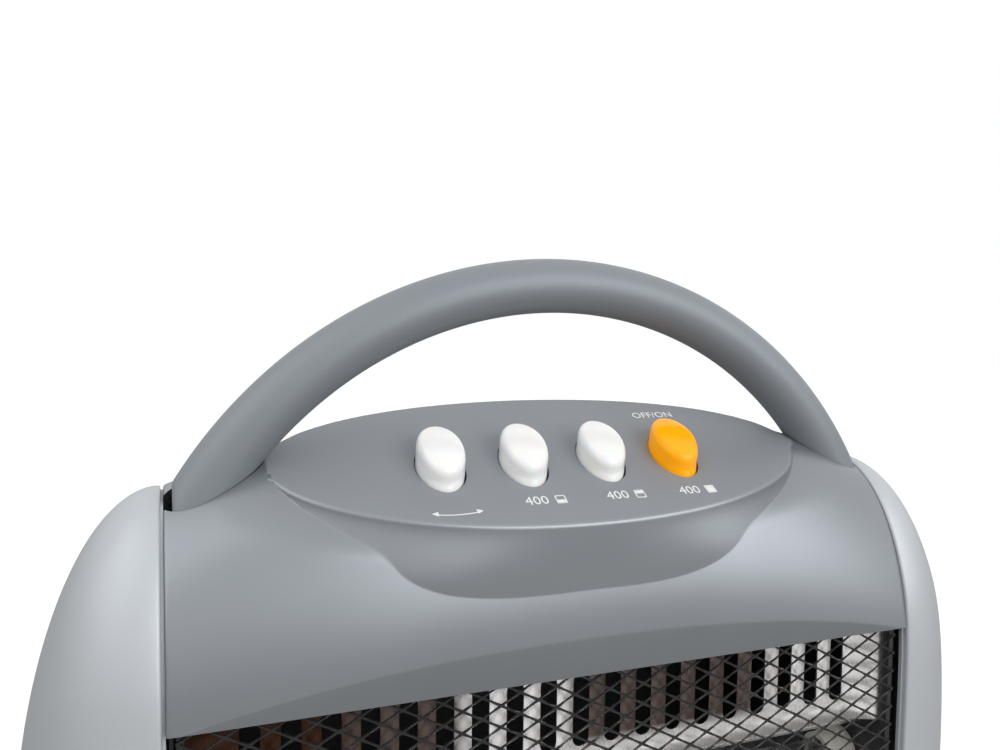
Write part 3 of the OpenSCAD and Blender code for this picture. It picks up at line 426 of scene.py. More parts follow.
MOULDED = {"vary": 0.05, "cloud": 14, "grain": 1500, "bump": 0.02, "rough_vary": 0.03}
SHEETED = {"cloud": 30, "grain": 900, "bump_size": 0.0001, "stretch": (1, 1, 0.2), "rough_vary": 0.03}
grey_body = material("grey_body", (0.272, 0.292, 0.315), 0.34, 0.65, **MOULDED)
panel_grey = material("panel_grey", (0.27, 0.29, 0.315), 0.5, 0.2, **MOULDED)
# The handle is the body's grey paint; its darker colour here is painted shade, with a rougher, less metallic finish.
handle_shaded_grey = material("handle_shaded_grey", (0.245, 0.268, 0.292), 0.5, 0.3, **MOULDED)
silver_cover = material("silver_cover", (0.51, 0.54, 0.57), 0.44, 0.25, vary=0.03, cloud=14, grain=1500, bump=0.1)
mirror = material("polished_steel", (0.92, 0.92, 0.93), 0.20, 1.0, vary=0.02, bump=0.03, **SHEETED)
# Steel of the slotted flanges; a brown painted reflection is laid over it further down.
reflection_tinted_steel = material("reflection_painted_steel", (0.94, 0.93, 0.93), 0.28, 1.0, vary=0.03, bump=0.02, **SHEETED)
shade_plastic = material("shade_plastic", (0.03, 0.032, 0.035), 0.6, 0.0, vary=0.1, cloud=40, grain=1500, bump=0.05)
mesh_enamel = material("mesh_enamel", (0.045, 0.045, 0.047), 0.26, 0.5, vary=0.2, cloud=90, grain=2200, bump=0.05,
                       coat=0.6, coat_rough=0.12)
galvanised = material("galvanised", (0.60, 0.61, 0.62), 0.38, 1.0, vary=0.18, cloud=120, grain=500, bump=0.1)
black_steel = material("black_steel", (0.02, 0.02, 0.022), 0.38, 0.0, vary=0.2, cloud=90, grain=2200, bump=0.15)
black_plastic = material("black_plastic", (0.025, 0.025, 0.027), 0.5, 0.0, vary=0.15, cloud=60, grain=3000, bump=0.2)
white_cap = material("white_cap", (0.93, 0.93, 0.92), 0.16, 0.0, vary=0.02, cloud=60, grain=700, bump=0.02,
                     coat=0.3, coat_rough=0.08, subsurface=0.5)
quartz = material("quartz", (0.97, 0.98, 0.99), 0.03, 0.0, vary=0.01, cloud=40, grain=300, bump=0.02,
                  transmission=1.0, ior=1.46, rough_vary=0.02)
tungsten = material("tungsten", (0.32, 0.31, 0.30), 0.45, 1.0, vary=0.2, cloud=200, grain=4000, bump=0.1)
ceramic = material("ceramic", (0.83, 0.80, 0.73), 0.75, 0.0, vary=0.08, cloud=90, grain=2600, bump=0.4)
screw_steel = material("screw_steel", (0.62, 0.62, 0.61), 0.3, 1.0, vary=0.12, cloud=300, grain=3000, bump=0.08)
brass = material("brass", (0.72, 0.55, 0.24), 0.3, 1.0, vary=0.12, cloud=200, grain=2500, bump=0.08)
rubber = material("rubber", (0.03, 0.03, 0.03), 0.7, 0.0, vary=0.2, cloud=100, grain=1800, bump=0.35)
nylon = material("nylon", (0.80, 0.78, 0.71), 0.42, 0.0, vary=0.05, cloud=80, grain=1500, bump=0.08, subsurface=0.1)
wire = material("wire", (0.76, 0.73, 0.65), 0.65, 0.0, vary=0.12, cloud=120, grain=900, bump=0.5, stretch=(1, 1, 3))
glow_lamp = material("glow_lamp", (1.0, 0.45, 0.2), 0.1, 0.0, vary=0.1, cloud=100, grain=600, bump=0.02,
                     transmission=0.6, glow=((1.0, 0.25, 0.05), 0.6))
# The orange cap's emission is a painted glow: the cap itself gives no light.
orange_cap = material("orange_cap", (1.0, 0.43, 0.0), 0.16, 0.0, vary=0.05, cloud=60, grain=700, bump=0.02,
                      coat=0.1, coat_rough=0.08, specular=0.25, subsurface=0.3, glow=((1.0, 0.28, 0.0), 0.22))
white_ink = material("white_ink", (0.85, 0.86, 0.86), 0.5, 0.0, vary=0.06, cloud=900, grain=4000, bump=0.1)


def painted_reflection_tint(mat, stops, brown, low, high):
    """Brown painted reflection of the surroundings over stretches of X that set in between two heights, all in
    millimetres.
    """
    half, tree = 120, mat.node_tree
    base = tree.nodes["Principled BSDF"].inputs["Base Color"]
    plain = base.links[0].from_socket
    axes = object_axes(tree)
    across = span(tree, axes["X"], -half * MM, half * MM, 0.0, 1.0)
    marks = ramp(tree, across, [((x + half) / (2 * half), (v, v, v)) for x, v in stops])
    band = span(tree, axes["Z"], low * MM, high * MM, 0.0, 1.0)
    mix = tree.nodes.new("ShaderNodeMix")
    mix.data_type = "RGBA"
    tree.links.new(combine(tree, "MULTIPLY", marks, band), mix.inputs[0])
    tree.links.new(plain, mix.inputs[6])
    mix.inputs[7].default_value = (*brown, 1.0)
    tree.links.new(mix.outputs[2], base)


# The brown across the flanges is a painted reflection of brown surroundings in the polished steel, not heat marks.
PAINTED_REFLECTION_STOPS = [(-78, 1.0), (-66, 0.93), (-41, 0.92), (-35, 0.0), (-6, 0.0), (3, 0.92), (62, 0.92), (74, 0.0)]
painted_reflection_tint(reflection_tinted_steel, PAINTED_REFLECTION_STOPS, (0.058, 0.027, 0.017), 238.5, 242.5)

BY_SLOT = {
    "grey_body": grey_body, "silver_cover": silver_cover, "polished_steel": mirror, "galvanised": galvanised,
    "black_steel": black_steel, "black_plastic": black_plastic, "white_cap": white_cap, "orange_cap": orange_cap,
    "quartz": quartz, "tungsten": tungsten, "ceramic": ceramic, "screw_steel": screw_steel, "brass": brass,
    "rubber": rubber, "glow_lamp": glow_lamp, "nylon": nylon, "wire": wire,
}
slot_of = {s["node"]: s["material_slot"] for s in frame["record"]["subparts"]}
body_of = {n: b for b, members in frame["record"]["behaviour"]["bodies"].items() for n in members}


def dress(obj, *stands_for, body=None, finish=None):
    """Give a piece its material, body and the CAD nodes that it stands for."""
    first = stands_for[0]
    obj.data.materials.clear()
    obj.data.materials.append(finish or BY_SLOT[slot_of[first]])
    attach(obj, body or body_of[first])
    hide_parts(*stands_for)
    return obj


# Grey crown moulding with the panel
def top_angles(xs, axis):
    """Angles of the rows for each column, close together along the edges of brow, pod and panel."""
    fine, near, pod_low = np.linspace(0, math.pi / 2, 900), 0.02, 285

    def sharp(x, y, z):
        body = np.minimum(np.maximum(crown_field(x, y, z), ledge_field(y, z)), pod_field(x, y, z))
        return np.maximum(np.maximum(body, panel_field(y, z)), brow_field(y, z))

    p = ray_points(sharp, xs, fine[None, :], axis, -1)
    x, y, z = p[..., 0], p[..., 1], p[..., 2]
    on_panel = np.abs(panel_field(y, z)) < near
    on_brow = np.abs(brow_field(y, z)) < near
    on_pod = (np.abs(pod_field(x, y, z)) < near) & ~on_panel & ~on_brow & (z > pod_low)
    first = lambda mask: np.where(mask.any(1), fine[mask.argmax(1)], np.nan)
    last = lambda mask: np.where(mask.any(1), fine[mask.shape[1] - 1 - mask[:, ::-1].argmax(1)], np.nan)
    brow, low, rim, back = last(on_brow), first(on_pod), first(on_panel), last(on_panel)
    known = ~np.isnan(back)
    back = np.interp(xs, xs[known], back[known])
    rim = np.where(np.isnan(rim), back, rim)
    low = np.where(np.isnan(low), rim, low)
    brow = np.where(np.isnan(brow), 0, brow)
    gap = math.radians(1.6)
    rim = np.minimum(rim, back - 2 * gap)
    low = np.minimum(low, rim - gap)
    brow = np.clip(brow, gap, low - gap)
    rows = []
    for marks in zip(brow, low, rim, back):
        ends = [0.0, *marks, math.pi / 2]
        parts = [spread(a, b, k) for a, b, k in zip(ends, ends[1:], (12, 34, 30, 60, 22))]
        rows.append(np.concatenate([parts[0], *[q[1:] for q in parts[1:]]]))
    return np.array(rows)


def cap_outline(height=0.0, gap=0.0):
    """Blunt lens of a rocker cap at a height over the panel, whose ends follow their swing about the pins."""
    power = 1.85
    t = np.linspace(0, 2 * math.pi, CAP_POINTS, endpoint=False)
    ends = np.where(np.sin(t) < 0, CAP_FRONT, CAP_REAR)
    swing = np.sqrt(ends ** 2 + PIVOT_DEPTH ** 2 - (PIVOT_DEPTH + min(height, 1.0)) ** 2) + gap
    x = (ROCKER_W / 2 + gap) * np.sign(np.cos(t)) * np.abs(np.cos(t)) ** (2 / power)
    return np.stack([x, swing * np.sign(np.sin(t)) * np.abs(np.sin(t)) ** (2 / power)], axis=1)


def stack_part(layers):
    """Closed solid through outlines with the same number of points, from the lowest up."""
    v = np.array(layers)
    n, m = v.shape[:2]
    f = grid_faces(n, m, close_m=True)
    return v.reshape(-1, 3), f + [tuple(range(m - 1, -1, -1)), tuple(range((n - 1) * m, n * m))]


def at_height(points, height):
    return np.column_stack([points, height + 0 * points[:, 0]])


def panel_matrix(x):
    return Matrix.Translation((x, ROCKER_Y, ROCKER_Z)) @ Matrix.Rotation(PANEL_TILT, 4, "X")


def handle_path(turn=0.0, count=150):
    low = math.asin((SHELF_Z - HANDLE_Z) / HANDLE_R) - turn
    a = np.linspace(low, math.pi - low, count)
    return np.stack([HANDLE_R * np.cos(a), np.full(count, HANDLE_Y), HANDLE_Z + HANDLE_R * np.sin(a)], axis=1)


top_axis = (SPLIT_Y, GRILLE_TOP)
xs = columns(HALF_W, 240)
top = clean(new_object("top_housing_skin", *star_part(
    ray_points(top_field, xs, top_angles(xs, top_axis), top_axis, -1), top_axis)))
inner_x = columns(HALF_W - SIDE_WALL, 90)
inner_axis = (SPLIT_Y + 3, GRILLE_TOP - 3)
inner_points = ray_points(lambda x, y, z: top_field(x, y, z, WALL), inner_x,
                          np.linspace(0, math.pi / 2, 70)[None, :], inner_axis, -1)
well = [at_height(cap_outline(max(z, -WALL), CAP_GAP), z) for z in (-WALL - 2, -WALL, -WALL / 2, -0.1)]
well = stack_part(well + [at_height(cap_outline(0, CAP_GAP), 2)])
wells = join([moved(well, panel_matrix(x)) for x in ROCKER_X])
sockets = tube_part(handle_path(0.12, 160), GRIP_R + SEAM, 48)
cut(top, star_part(inner_points, inner_axis), wells, sockets)


def shade_inside(obj, field):
    """Give the faces on the inner side of a moulding the darker look of its unlit inside."""
    obj.data.materials.append(shade_plastic)
    for face in obj.data.polygons:
        x, y, z = face.center / MM
        if abs(float(field(x, y, z))) < 0.25:
            face.material_index = 1


dress(clean(top, 18), "top_housing")
shade_inside(top, lambda x, y, z: top_field(x, y, z, WALL))
top.data.materials.append(panel_grey)
for face in top.data.polygons:
    x, y, z = face.center / MM
    if abs(float(panel_field(y, z))) < 0.12 and face.normal.z > 0.5:
        face.material_index = 2

# Grey back with its vents and screw wells
rear_axis = (SPLIT_Y + SEAM, 190.0)
arc = np.array([(HALF_D - EDGE_R + EDGE_R * math.sin(t), HEAD_Z + EDGE_R - EDGE_R * math.cos(t))
                for t in np.linspace(0, math.pi / 2, 14)])
profile = [(y, HEAD_Z) for y in np.linspace(rear_axis[0], arc[0][0], 8)][:-1] + arc.tolist()
profile += [(HALF_D, z) for z in np.linspace(66, 262, 60)]
profile += [(roll_y(r), r + AXIS_Z) for r in CROWN_R - ROLL * (1 - np.sin(np.linspace(0.05, math.pi / 2, 60)))]
profile = np.array(profile)
rear_rows = np.arctan2(profile[:, 1] - rear_axis[1], profile[:, 0] - rear_axis[0])
rear_rows = np.unique(np.round(np.append(rear_rows[rear_rows < 1.565], [-math.pi / 2, math.pi / 2]), 5))
rear = clean(new_object("rear_cover_skin", *star_part(
    ray_points(rear_field, columns(HALF_W, 200), rear_rows[None, :], rear_axis, 1), rear_axis)))
rear_in_axis = (SPLIT_Y - 3, 190.0)
rear_in = star_part(ray_points(lambda x, y, z: rear_field(x, y, z, WALL), inner_x,
                               np.linspace(-math.pi / 2, math.pi / 2, 120)[None, :], rear_in_axis, 1), rear_in_axis)
vents = []
for z in np.arange(GRILLE_LOW + 12, MID_Z + 26, VENT_PITCH):
    for s in (-1, 0, 1):
        middle = s * VENT_STEP
        ring = [(px, pz) for px, pz in circle(VENT_R, 16, middle + VENT_HALF, z + VENT_R) if px >= middle + VENT_HALF]
        left = [(2 * middle - px, pz) for px, pz in ring]
        outline = sorted(ring, key=lambda q: q[1]) + sorted(left, key=lambda q: -q[1])
        vents.append(moved(prism_part(outline, -HALF_D - 2, -HALF_D + WALL + 2), UPRIGHT))
rear_well = moved(prism_part(circle(SCREW_WELL_R, 32), 0, 14), UPRIGHT)
rear_wells = join([moved(rear_well, Matrix.Translation((s * BOSS_X, HALF_D + 1, z)))
                   for s in (-1, 1) for z in BOSS_ZS])
swivel_hole = prism_part(circle(SWIVEL_R, 96), HEAD_Z - 1, HEAD_Z + WALL + 1)
cut(rear, rear_in, join(vents), rear_wells, swivel_hole)
cups = []
for s in (-1, 1):
    for z in BOSS_ZS:
        deep = float(roll_y(math.hypot(BOSS_X, z - AXIS_Z), WALL)) + 0.6
        rings = [(CUP_R, deep), (CUP_R, SPLIT_Y + 9), (SCREW_R, SPLIT_Y + 9),
                 (SCREW_R, HALF_D - 13), (SCREW_WELL_R, HALF_D - 13), (SCREW_WELL_R, deep)]
        part = revolve_part(rings, 32, closed=True)
        cups.append(moved(part, Matrix.Translation((s * BOSS_X, 0, z)) @ Matrix.Rotation(-math.pi / 2, 4, "X")))
dress(clean(rear, 40), "rear_cover")
shade_inside(rear, lambda x, y, z: rear_field(x, y, z, WALL))
dress(clean(new_object("rear_screw_wells", *join(cups)), 30), "rear_cover")

# Grey chin below the grille
chin_axis = (SPLIT_Y, GRILLE_LOW)
chin_rows = -np.concatenate([np.linspace(0, 0.40, 12), np.linspace(0.42, 1.1, 40),
                             np.linspace(1.12, math.pi / 2, 12)])
chin = clean(new_object("chin_skin", *star_part(
    ray_points(chin_field, columns(HALF_W, 120), chin_rows[None, :], chin_axis, -1), chin_axis)))
chin_in_axis = (SPLIT_Y + 3, GRILLE_LOW + 3)
chin_in = star_part(ray_points(lambda x, y, z: chin_field(x, y, z, WALL), inner_x,
                               np.linspace(0, -math.pi / 2, 60)[None, :], chin_in_axis, -1), chin_in_axis)
cut(chin, chin_in, prism_part(circle(POST_R, 64), HEAD_Z - 1, HEAD_Z + WALL + 1))
dress(clean(chin, 40), "lower_housing")


# Silver side covers
def soft_min(a, b, k):
    h = np.maximum(k - np.abs(a - b), 0) / k
    return np.minimum(a, b) - h * h * k / 4


def cover_section(z, inset):
    """Width and half depth of a side cover at a height."""
    t = (z - COVER_MID) / (COVER_TOP - COVER_MID) if z > COVER_MID else (COVER_MID - z) / COVER_TAPER
    w = COVER_W * math.sqrt(max(0.0, 1 - t * t))
    drop = max(0.0, HEAD_Z + EDGE_R - z)
    base, ease_r = HALF_D - 1.6, 2.0
    foot = base - EDGE_R + math.sqrt(max(0.0, EDGE_R ** 2 - drop ** 2))
    d = float(soft_min(soft_min(float(roll_y(math.hypot(HALF_W, z - AXIS_Z))), base, 3.0), foot, 0.5))
    ease = ease_r - math.sqrt(max(0.0, ease_r ** 2 - max(0.0, HEAD_Z + ease_r - z) ** 2))
    return max(0.2, w - inset - ease), max(0.2, d - inset - ease)


def cover_part():
    """Right side cover as a shell, open towards the housing, with a rounded edge."""
    rise = (1 - np.cos(np.linspace(0, math.pi, 130))) / 2
    turn = np.linspace(-math.pi / 2, math.pi / 2, 61)
    power, lip = 2 / 2.3, 1.1
    parts = []
    for inset, z0, z1 in ((0.0, HEAD_Z, COVER_TOP - 0.05), (WALL, HEAD_Z + WALL, COVER_TOP - 4)):
        rings = []
        for z in z0 + (z1 - z0) * rise:
            w, d = cover_section(z, inset)
            x = np.maximum(np.cos(turn), 0) ** power
            y = np.sign(np.sin(turn)) * np.abs(np.sin(turn)) ** power * d
            if inset:
                ring = np.stack([COVER_X + w * x, y, np.full_like(x, z)], axis=1)
            else:
                e = min(lip, d * 0.4, w * 0.4)
                body = np.stack([COVER_X + e + (w - e) * x, y, np.full_like(x, z)], axis=1)
                q = np.linspace(0, math.pi / 2, 6)[1:]
                edge = np.stack([COVER_X + e * (1 - np.sin(q)), d - e * (1 - np.cos(q)), np.full_like(q, z)], axis=1)
                ring = np.concatenate([(edge * np.array([1, -1, 1]))[::-1], body, edge])
            rings.append(ring)
        parts.append(np.array(rings))
    outer, inner = parts
    n, m, k = outer.shape[0], outer.shape[1], inner.shape[1]
    v = outer.reshape(-1, 3).tolist() + inner.reshape(-1, 3).tolist()
    f = grid_faces(n, m) + [tuple(reversed(q)) for q in grid_faces(n, k, start=n * m)]
    for i in range(n - 1):
        for a, b in ((i * m, n * m + i * k), (i * m + m - 1, n * m + i * k + k - 1)):
            quad = (a, a + m, b + k, b)
            f.append(quad if a == i * m else tuple(reversed(quad)))
    last, inner_last = (n - 1) * m, n * m + (n - 1) * k
    f += [tuple(range(m - 1, -1, -1)), tuple(range(last, last + m))]
    f += [tuple(range(n * m, n * m + k)), tuple(range(inner_last + k - 1, inner_last - 1, -1))]
    f += [(0, n * m, n * m + k - 1, m - 1), (last, last + m - 1, inner_last + k - 1, inner_last)]
    return v, f


def cover_lip():
    """Tongue inside the edge of a side cover that closes the joint with the housing."""
    rings = []
    for inset in (1.9, 3.2):
        heights = np.linspace(HEAD_Z + inset, COVER_TOP - 1.4 * inset, 120)
        deep = [max(0.3, float(cover_section(z, 0.0)[1]) - inset) for z in heights]
        front = [(-d, z) for d, z in zip(deep, heights)]
        rings.append(front + [(-y, z) for y, z in front][::-1])
    v = [(x, y, z) for x in (HALF_W + 0.05, COVER_X + 1.2) for ring in rings for y, z in ring]
    n = len(rings[0])
    loops = [[base + k for k in range(n)] for base in (0, n, 3 * n, 2 * n)]
    pairs = list(zip(loops, loops[1:] + loops[:1]))
    return v, [(a[k], a[(k + 1) % n], b[(k + 1) % n], b[k]) for a, b in pairs for k in range(n)]


for tag, part, angle in (("_lip", cover_lip(), 30), ("_skin", cover_part(), 50)):
    dress(clean(new_object("side_cover_right" + tag, *part), angle), "side_cover_right")
    dress(clean(new_object("side_cover_left" + tag, *mirror_x(part)), angle), "side_cover_left")

# Handle
grip_v, grip_f = tube_part(handle_path(0.02, 190), GRIP_R, 64)
grip_v[:, 0] = np.clip(grip_v[:, 0], -HALF_W + 2.3, HALF_W - 2.3)
grip_v[:, 2] = np.maximum(grip_v[:, 2], SHELF_Z)
# The handle's darker grey is painted shade.
dress(clean(new_object("grip", grip_v, grip_f), 50, merge=0.0005), "handle", finish=handle_shaded_grey)


# Rocker caps
def cap_part():
    """Blunt skirt that turns into a pillowed oval top, which slopes down to the front."""
    t = np.linspace(0, 2 * math.pi, CAP_POINTS, endpoint=False)
    half_w, half_l, middle = ROCKER_W / 2 - 0.1, (CAP_FRONT + CAP_REAR) / 2 - 0.9, (CAP_REAR - CAP_FRONT) / 2
    edge, lift, slope, crown, shoulder, flat, sag = 3.0, 0.2, 0.19, 0.8, 1.0, 0.76, 0.34
    oval = np.stack([half_w * np.cos(t), half_l * np.sin(t)], axis=1)
    centre = np.array([0.0, middle])

    def dome(points):
        y = points[:, 1]
        return ROCKER_H + lift + slope * (y - CAP_REAR) + crown * (1 - ((y - middle) / half_l) ** 2)

    skirt = ((-3.4, 0.93), (-3.0, 1), (-2, 1), (-1, 1), (0, 1), (1, 1))
    layers = [at_height(cap_outline(z) * k, z) for z, k in skirt]
    for q in np.linspace(0, 1, 9)[1:]:
        points = cap_outline(shoulder)
        points = points + (oval + centre - points) * q * q * (3 - 2 * q)
        layers.append(at_height(points, shoulder + q * (dome(points) - edge - shoulder)))
    for q in np.linspace(0, math.pi / 2, 9)[1:]:
        points = centre + oval * (1 - (1 - flat) * (1 - math.cos(q)))
        layers.append(at_height(points, dome(points) - edge + (edge - sag) * math.sin(q)))
    for share in np.linspace(flat, 0.02, 12)[1:]:
        points = centre + oval * share
        layers.append(at_height(points, dome(points) - sag * (share / flat) ** 3))
    return stack_part(layers)


web = box_part((-ROCKER_W / 2 + 2, -2.5, -PIVOT_DEPTH - 2.4), (ROCKER_W / 2 - 2, 2.5, -2.4))
pins = moved(prism_part(circle(1.5, 32), -9.0, 9.0), Matrix.Translation((0, 0, -PIVOT_DEPTH))
             @ Matrix.Rotation(math.pi / 2, 4, "Y"))
down, lifted = Matrix.Translation((0, 0, -PIVOT_DEPTH)), Matrix.Translation((0, 0, PIVOT_DEPTH))
for name, x in zip(ROCKERS, ROCKER_X):
    rest = panel_matrix(x) @ down @ Matrix.Rotation(REST_TILT, 4, "X") @ lifted
    dress(clean(new_object(name + "_cap", *moved(join([cap_part(), web, pins]), rest)), 50), name)


# Expanded mesh of the grille
def mesh_part():
    """Two families of zigzag strands that cross at the knuckles of the mesh."""
    x1, z0, z1 = GRILLE_X, GRILLE_LOW - GRILLE_LAP, GRILLE_TOP + GRILLE_LAP
    cell_w, cell_h, half_t = 11.6, 6.3, 0.2
    deep = MESH_Y + 0.45
    parts = []
    columns_, rows_ = round(2 * x1 / cell_w), round((z1 - z0) / cell_h)
    dx, dz = 2 * x1 / columns_ / 2, (z1 - z0) / rows_ / 2
    for slope in (1, -1):
        for k in range(-2 * rows_, 2 * columns_ + 1, 2):
            line = []
            for j in range(2 * rows_ + 1):
                i = k + j if slope > 0 else k + 2 * rows_ - j
                if 0 <= i <= 2 * columns_:
                    line.append((i, j))
            if len(line) < 2:
                continue
            pts, wide, tilt = [], [], []
            for q, (i, j) in enumerate(line):
                here = np.array([-x1 + i * dx, deep, z0 + j * dz])
                if q:
                    middle = (pts[-1] + here) / 2
                    pts.append(middle)
                    wide.append(STRAND_W)
                    tilt.append(STRAND_TILT)
                pts.append(here)
                wide.append(KNUCKLE_W)
                tilt.append(KNUCKLE_TILT)
            pts = np.array(pts)
            along = np.array([dx * slope, 0, dz])
            along /= np.linalg.norm(along)
            across = slope * np.array([-along[2], 0, along[0]])
            out = np.array([0.0, -1.0, 0.0])
            rings = []
            for p, w, t in zip(pts, wide, tilt):
                u = across * math.cos(t) + out * math.sin(t)
                v = -across * math.sin(t) + out * math.cos(t)
                u, v = u * w / 2, v * half_t
                rings.append([p + u + v, p - u + v, p - u - v, p + u - v])
            v = np.array(rings).reshape(-1, 3)
            f = grid_faces(len(pts), 4, close_m=True)
            f += [(0, 1, 2, 3), tuple(range(len(v) - 1, len(v) - 5, -1))]
            parts.append((v, f))
    return join(parts)


grille_v, grille_f = mesh_part()
grille_v = np.array(grille_v)
grille_v[:, 1] = np.clip(grille_v[:, 1], MESH_Y, MESH_Y + MESH_T)
dress(new_object("grille_strands", grille_v, grille_f, smooth=False), "grille_mesh", finish=mesh_enamel)


# Reflector with its slotted flanges
def flat_sheet(name, outline, holes, thickness, edge):
    """Sheet in the XZ plane with holes and slightly rounded edges, made by a filled curve."""
    curve = bpy.data.curves.new(name, "CURVE")
    curve.dimensions, curve.fill_mode = "2D", "BOTH"
    curve.extrude, curve.bevel_depth, curve.bevel_resolution = (thickness / 2 - edge) * MM, edge * MM, 1
    curve.offset = -edge * MM
    for ring in [outline, *holes]:
        spline = curve.splines.new("POLY")
        spline.points.add(len(ring) - 1)
        for point, (x, y) in zip(spline.points, ring):
            point.co = (x * MM, y * MM, 0, 1)
        spline.use_cyclic_u = True
    obj = bpy.data.objects.new(name, curve)
    scene.collection.objects.link(obj)
    mesh = bpy.data.meshes.new_from_object(obj.evaluated_get(bpy.context.evaluated_depsgraph_get()))
    bpy.data.objects.remove(obj)
    made = bpy.data.objects.new(name, mesh)
    scene.collection.objects.link(made)
    return made


def slot_ring(x, z0, z1, w):
    r, half_turn = w / 2, np.linspace(0, math.pi, 9)
    top_arc = [(x + r * math.cos(t), z1 - r + r * math.sin(t)) for t in half_turn]
    return top_arc + [(x + r * math.cos(t), z0 + r + r * math.sin(t)) for t in half_turn + math.pi]


def bend_ends(obj):
    """Curve the last millimetres of a flange forward, as its pressed ends are."""
    bm = bmesh.new()
    bm.from_mesh(obj.data)
    for x in np.linspace(BEND_X, REFLECTOR_X - 1, 8):
        for side in (-1, 1):
            bmesh.ops.bisect_plane(bm, geom=bm.verts[:] + bm.edges[:] + bm.faces[:], dist=1e-7,
                                   plane_co=(side * x * MM, 0, 0), plane_no=(1, 0, 0))
    for v in bm.verts:
        past = max(0.0, abs(v.co.x) / MM - BEND_X) / (REFLECTOR_X - BEND_X)
        v.co.y -= BEND * past ** 2 * MM
    bm.to_mesh(obj.data)
    bm.free()


def rectangle(x, z0, z1):
    return [(-x, z0), (x, z0), (x, z1), (-x, z1)]


rim_ring = rectangle(GRILLE_X, GRILLE_LOW - GRILLE_LAP, GRILLE_TOP + GRILLE_LAP)
rim = flat_sheet("grille_rim", rim_ring, [rectangle(RIM_X, GRILLE_LOW + 3, GRILLE_TOP - 1.5)[::-1]], RIM_T, 0.3)
rim.data.transform(Matrix.Translation((0, (MESH_Y + MESH_T + RIM_T / 2) * MM, 0)) @ UPRIGHT)
dress(clean(rim, 30), "grille_frame")

half_mouth = math.sqrt(TROUGH_R ** 2 - (FLANGE_Y - TROUGH_Y) ** 2)
for s in (1, -1):
    near, far = MID_Z + s * (half_mouth + FOLD), (GRILLE_TOP - 2.8 if s > 0 else GRILLE_LOW + 2)
    z_lo, z_hi = min(near, far), max(near, far)
    border = GRILLE_TOP if s > 0 else GRILLE_LOW
    slot_z = sorted((border - s * SLOT_NEAR, border - s * SLOT_FAR))
    holes = [slot_ring((k - (SLOTS - 1) / 2) * SLOT_PITCH + SLOT_SHIFT, *slot_z, SLOT_W) for k in range(SLOTS)]
    name = "flange_top" if s > 0 else "flange_low"
    flange = flat_sheet(name, rectangle(REFLECTOR_X, z_lo, z_hi), holes, SHEET, 0.12)
    flange.data.transform(Matrix.Translation((0, (FLANGE_Y + SHEET / 2) * MM, 0)) @ UPRIGHT)
    bend_ends(flange)
    # The flanges carry the brown painted reflection.
    dress(clean(flange, 30), "reflector", finish=reflection_tinted_steel)
low_a = math.asin(half_mouth / TROUGH_R)
trough = [(TROUGH_Y + TROUGH_R * math.cos(a), MID_Z + TROUGH_R * math.sin(a)) for a in np.linspace(-low_a, low_a, 90)]
fold_top = [(FLANGE_Y, MID_Z + half_mouth + FOLD), (FLANGE_Y + 0.15, MID_Z + half_mouth + 0.7)]
line = np.array([(y, 2 * MID_Z - z) for y, z in fold_top] + trough[1:-1] + fold_top[::-1])
direction = np.gradient(line, axis=0)
direction /= np.linalg.norm(direction, axis=1)[:, None]
outward = np.stack([direction[:, 1], -direction[:, 0]], axis=1)
ring = np.concatenate([line, (line + outward * SHEET)[::-1]])
trough_v = [(x, y, z) for x in np.linspace(-REFLECTOR_X, REFLECTOR_X, 40) for y, z in ring]
trough_f = grid_faces(40, len(ring), close_m=True)
trough_f += [tuple(range(len(ring))), tuple(range(len(trough_v) - 1, len(trough_v) - 1 - len(ring), -1))]
dress(clean(new_object("reflector_trough", trough_v, trough_f), 40), "reflector")

# Heating coils in the tubes
for name, z in (("top", MID_Z + TUBE_PITCH), ("middle", MID_Z), ("bottom", MID_Z - TUBE_PITCH)):
    start, end = -HALF_W + 8, HALF_W - 8
    t = np.linspace(0, 1, COIL_TURNS * 9)
    turn = 2 * math.pi * COIL_TURNS * t
    coil = np.stack([start + (end - start) * t, TUBE_Y + COIL_R * np.cos(turn), z + COIL_R * np.sin(turn)], axis=1)
    parts = [tube_part(coil, COIL_WIRE, 5)]
    for k in range(1, SPACERS + 1):
        a = np.linspace(0, 2 * math.pi * 1.9, 40)
        x = -HALF_W + 3 + k * 230 / (SPACERS + 1)
        r = 2.0 + 2.2 * np.minimum(a / 6, 1)
        parts.append(tube_part(np.stack([x + a * 0.12, TUBE_Y + r * np.cos(a), z + r * np.sin(a)], axis=1), 0.25, 6))
    dress(clean(new_object("coil_" + name, *join(parts)), 50), "filament_" + name)


# Round foot
def foot_profile(inset):
    r, top_z, side, roll = FOOT_R - inset, FOOT_TOP - inset, 20.0, 56.0
    angles = np.linspace(0, math.pi / 2, 50)
    return [(r - roll * (1 - math.cos(a)), side + (top_z - side) * math.sin(a)) for a in angles]


sleeve_r, mouth_r, bore_r, sleeve_z = 18.0, 14.6, 14.05, 38.0
foot_ring = [(sleeve_r, FOOT_TOP), (mouth_r, FOOT_TOP), (bore_r, FOOT_TOP - 0.5), (bore_r, sleeve_z),
             (sleeve_r, sleeve_z), (sleeve_r, FOOT_TOP - WALL)]
foot_ring += foot_profile(WALL)[::-1] + [(FOOT_R - WALL, FEET_H), (FOOT_R - 0.8, FEET_H), (FOOT_R, FEET_H + 0.8)]
foot_ring += foot_profile(0.0)
foot = clean(new_object("foot_shell", *revolve_part(foot_ring, 200, closed=True)), 40)
bush_hole = moved(prism_part(circle(6.6, 48), 0, 20), Matrix.Translation((0, FOOT_R + 1, BUSH_Z)) @ UPRIGHT)
cut(foot, box_part((-10, FOOT_R - 2.1, FEET_H - 2), (10, FOOT_R + 8, 22)), bush_hole)
dress(clean(foot, 35), "base_shell")

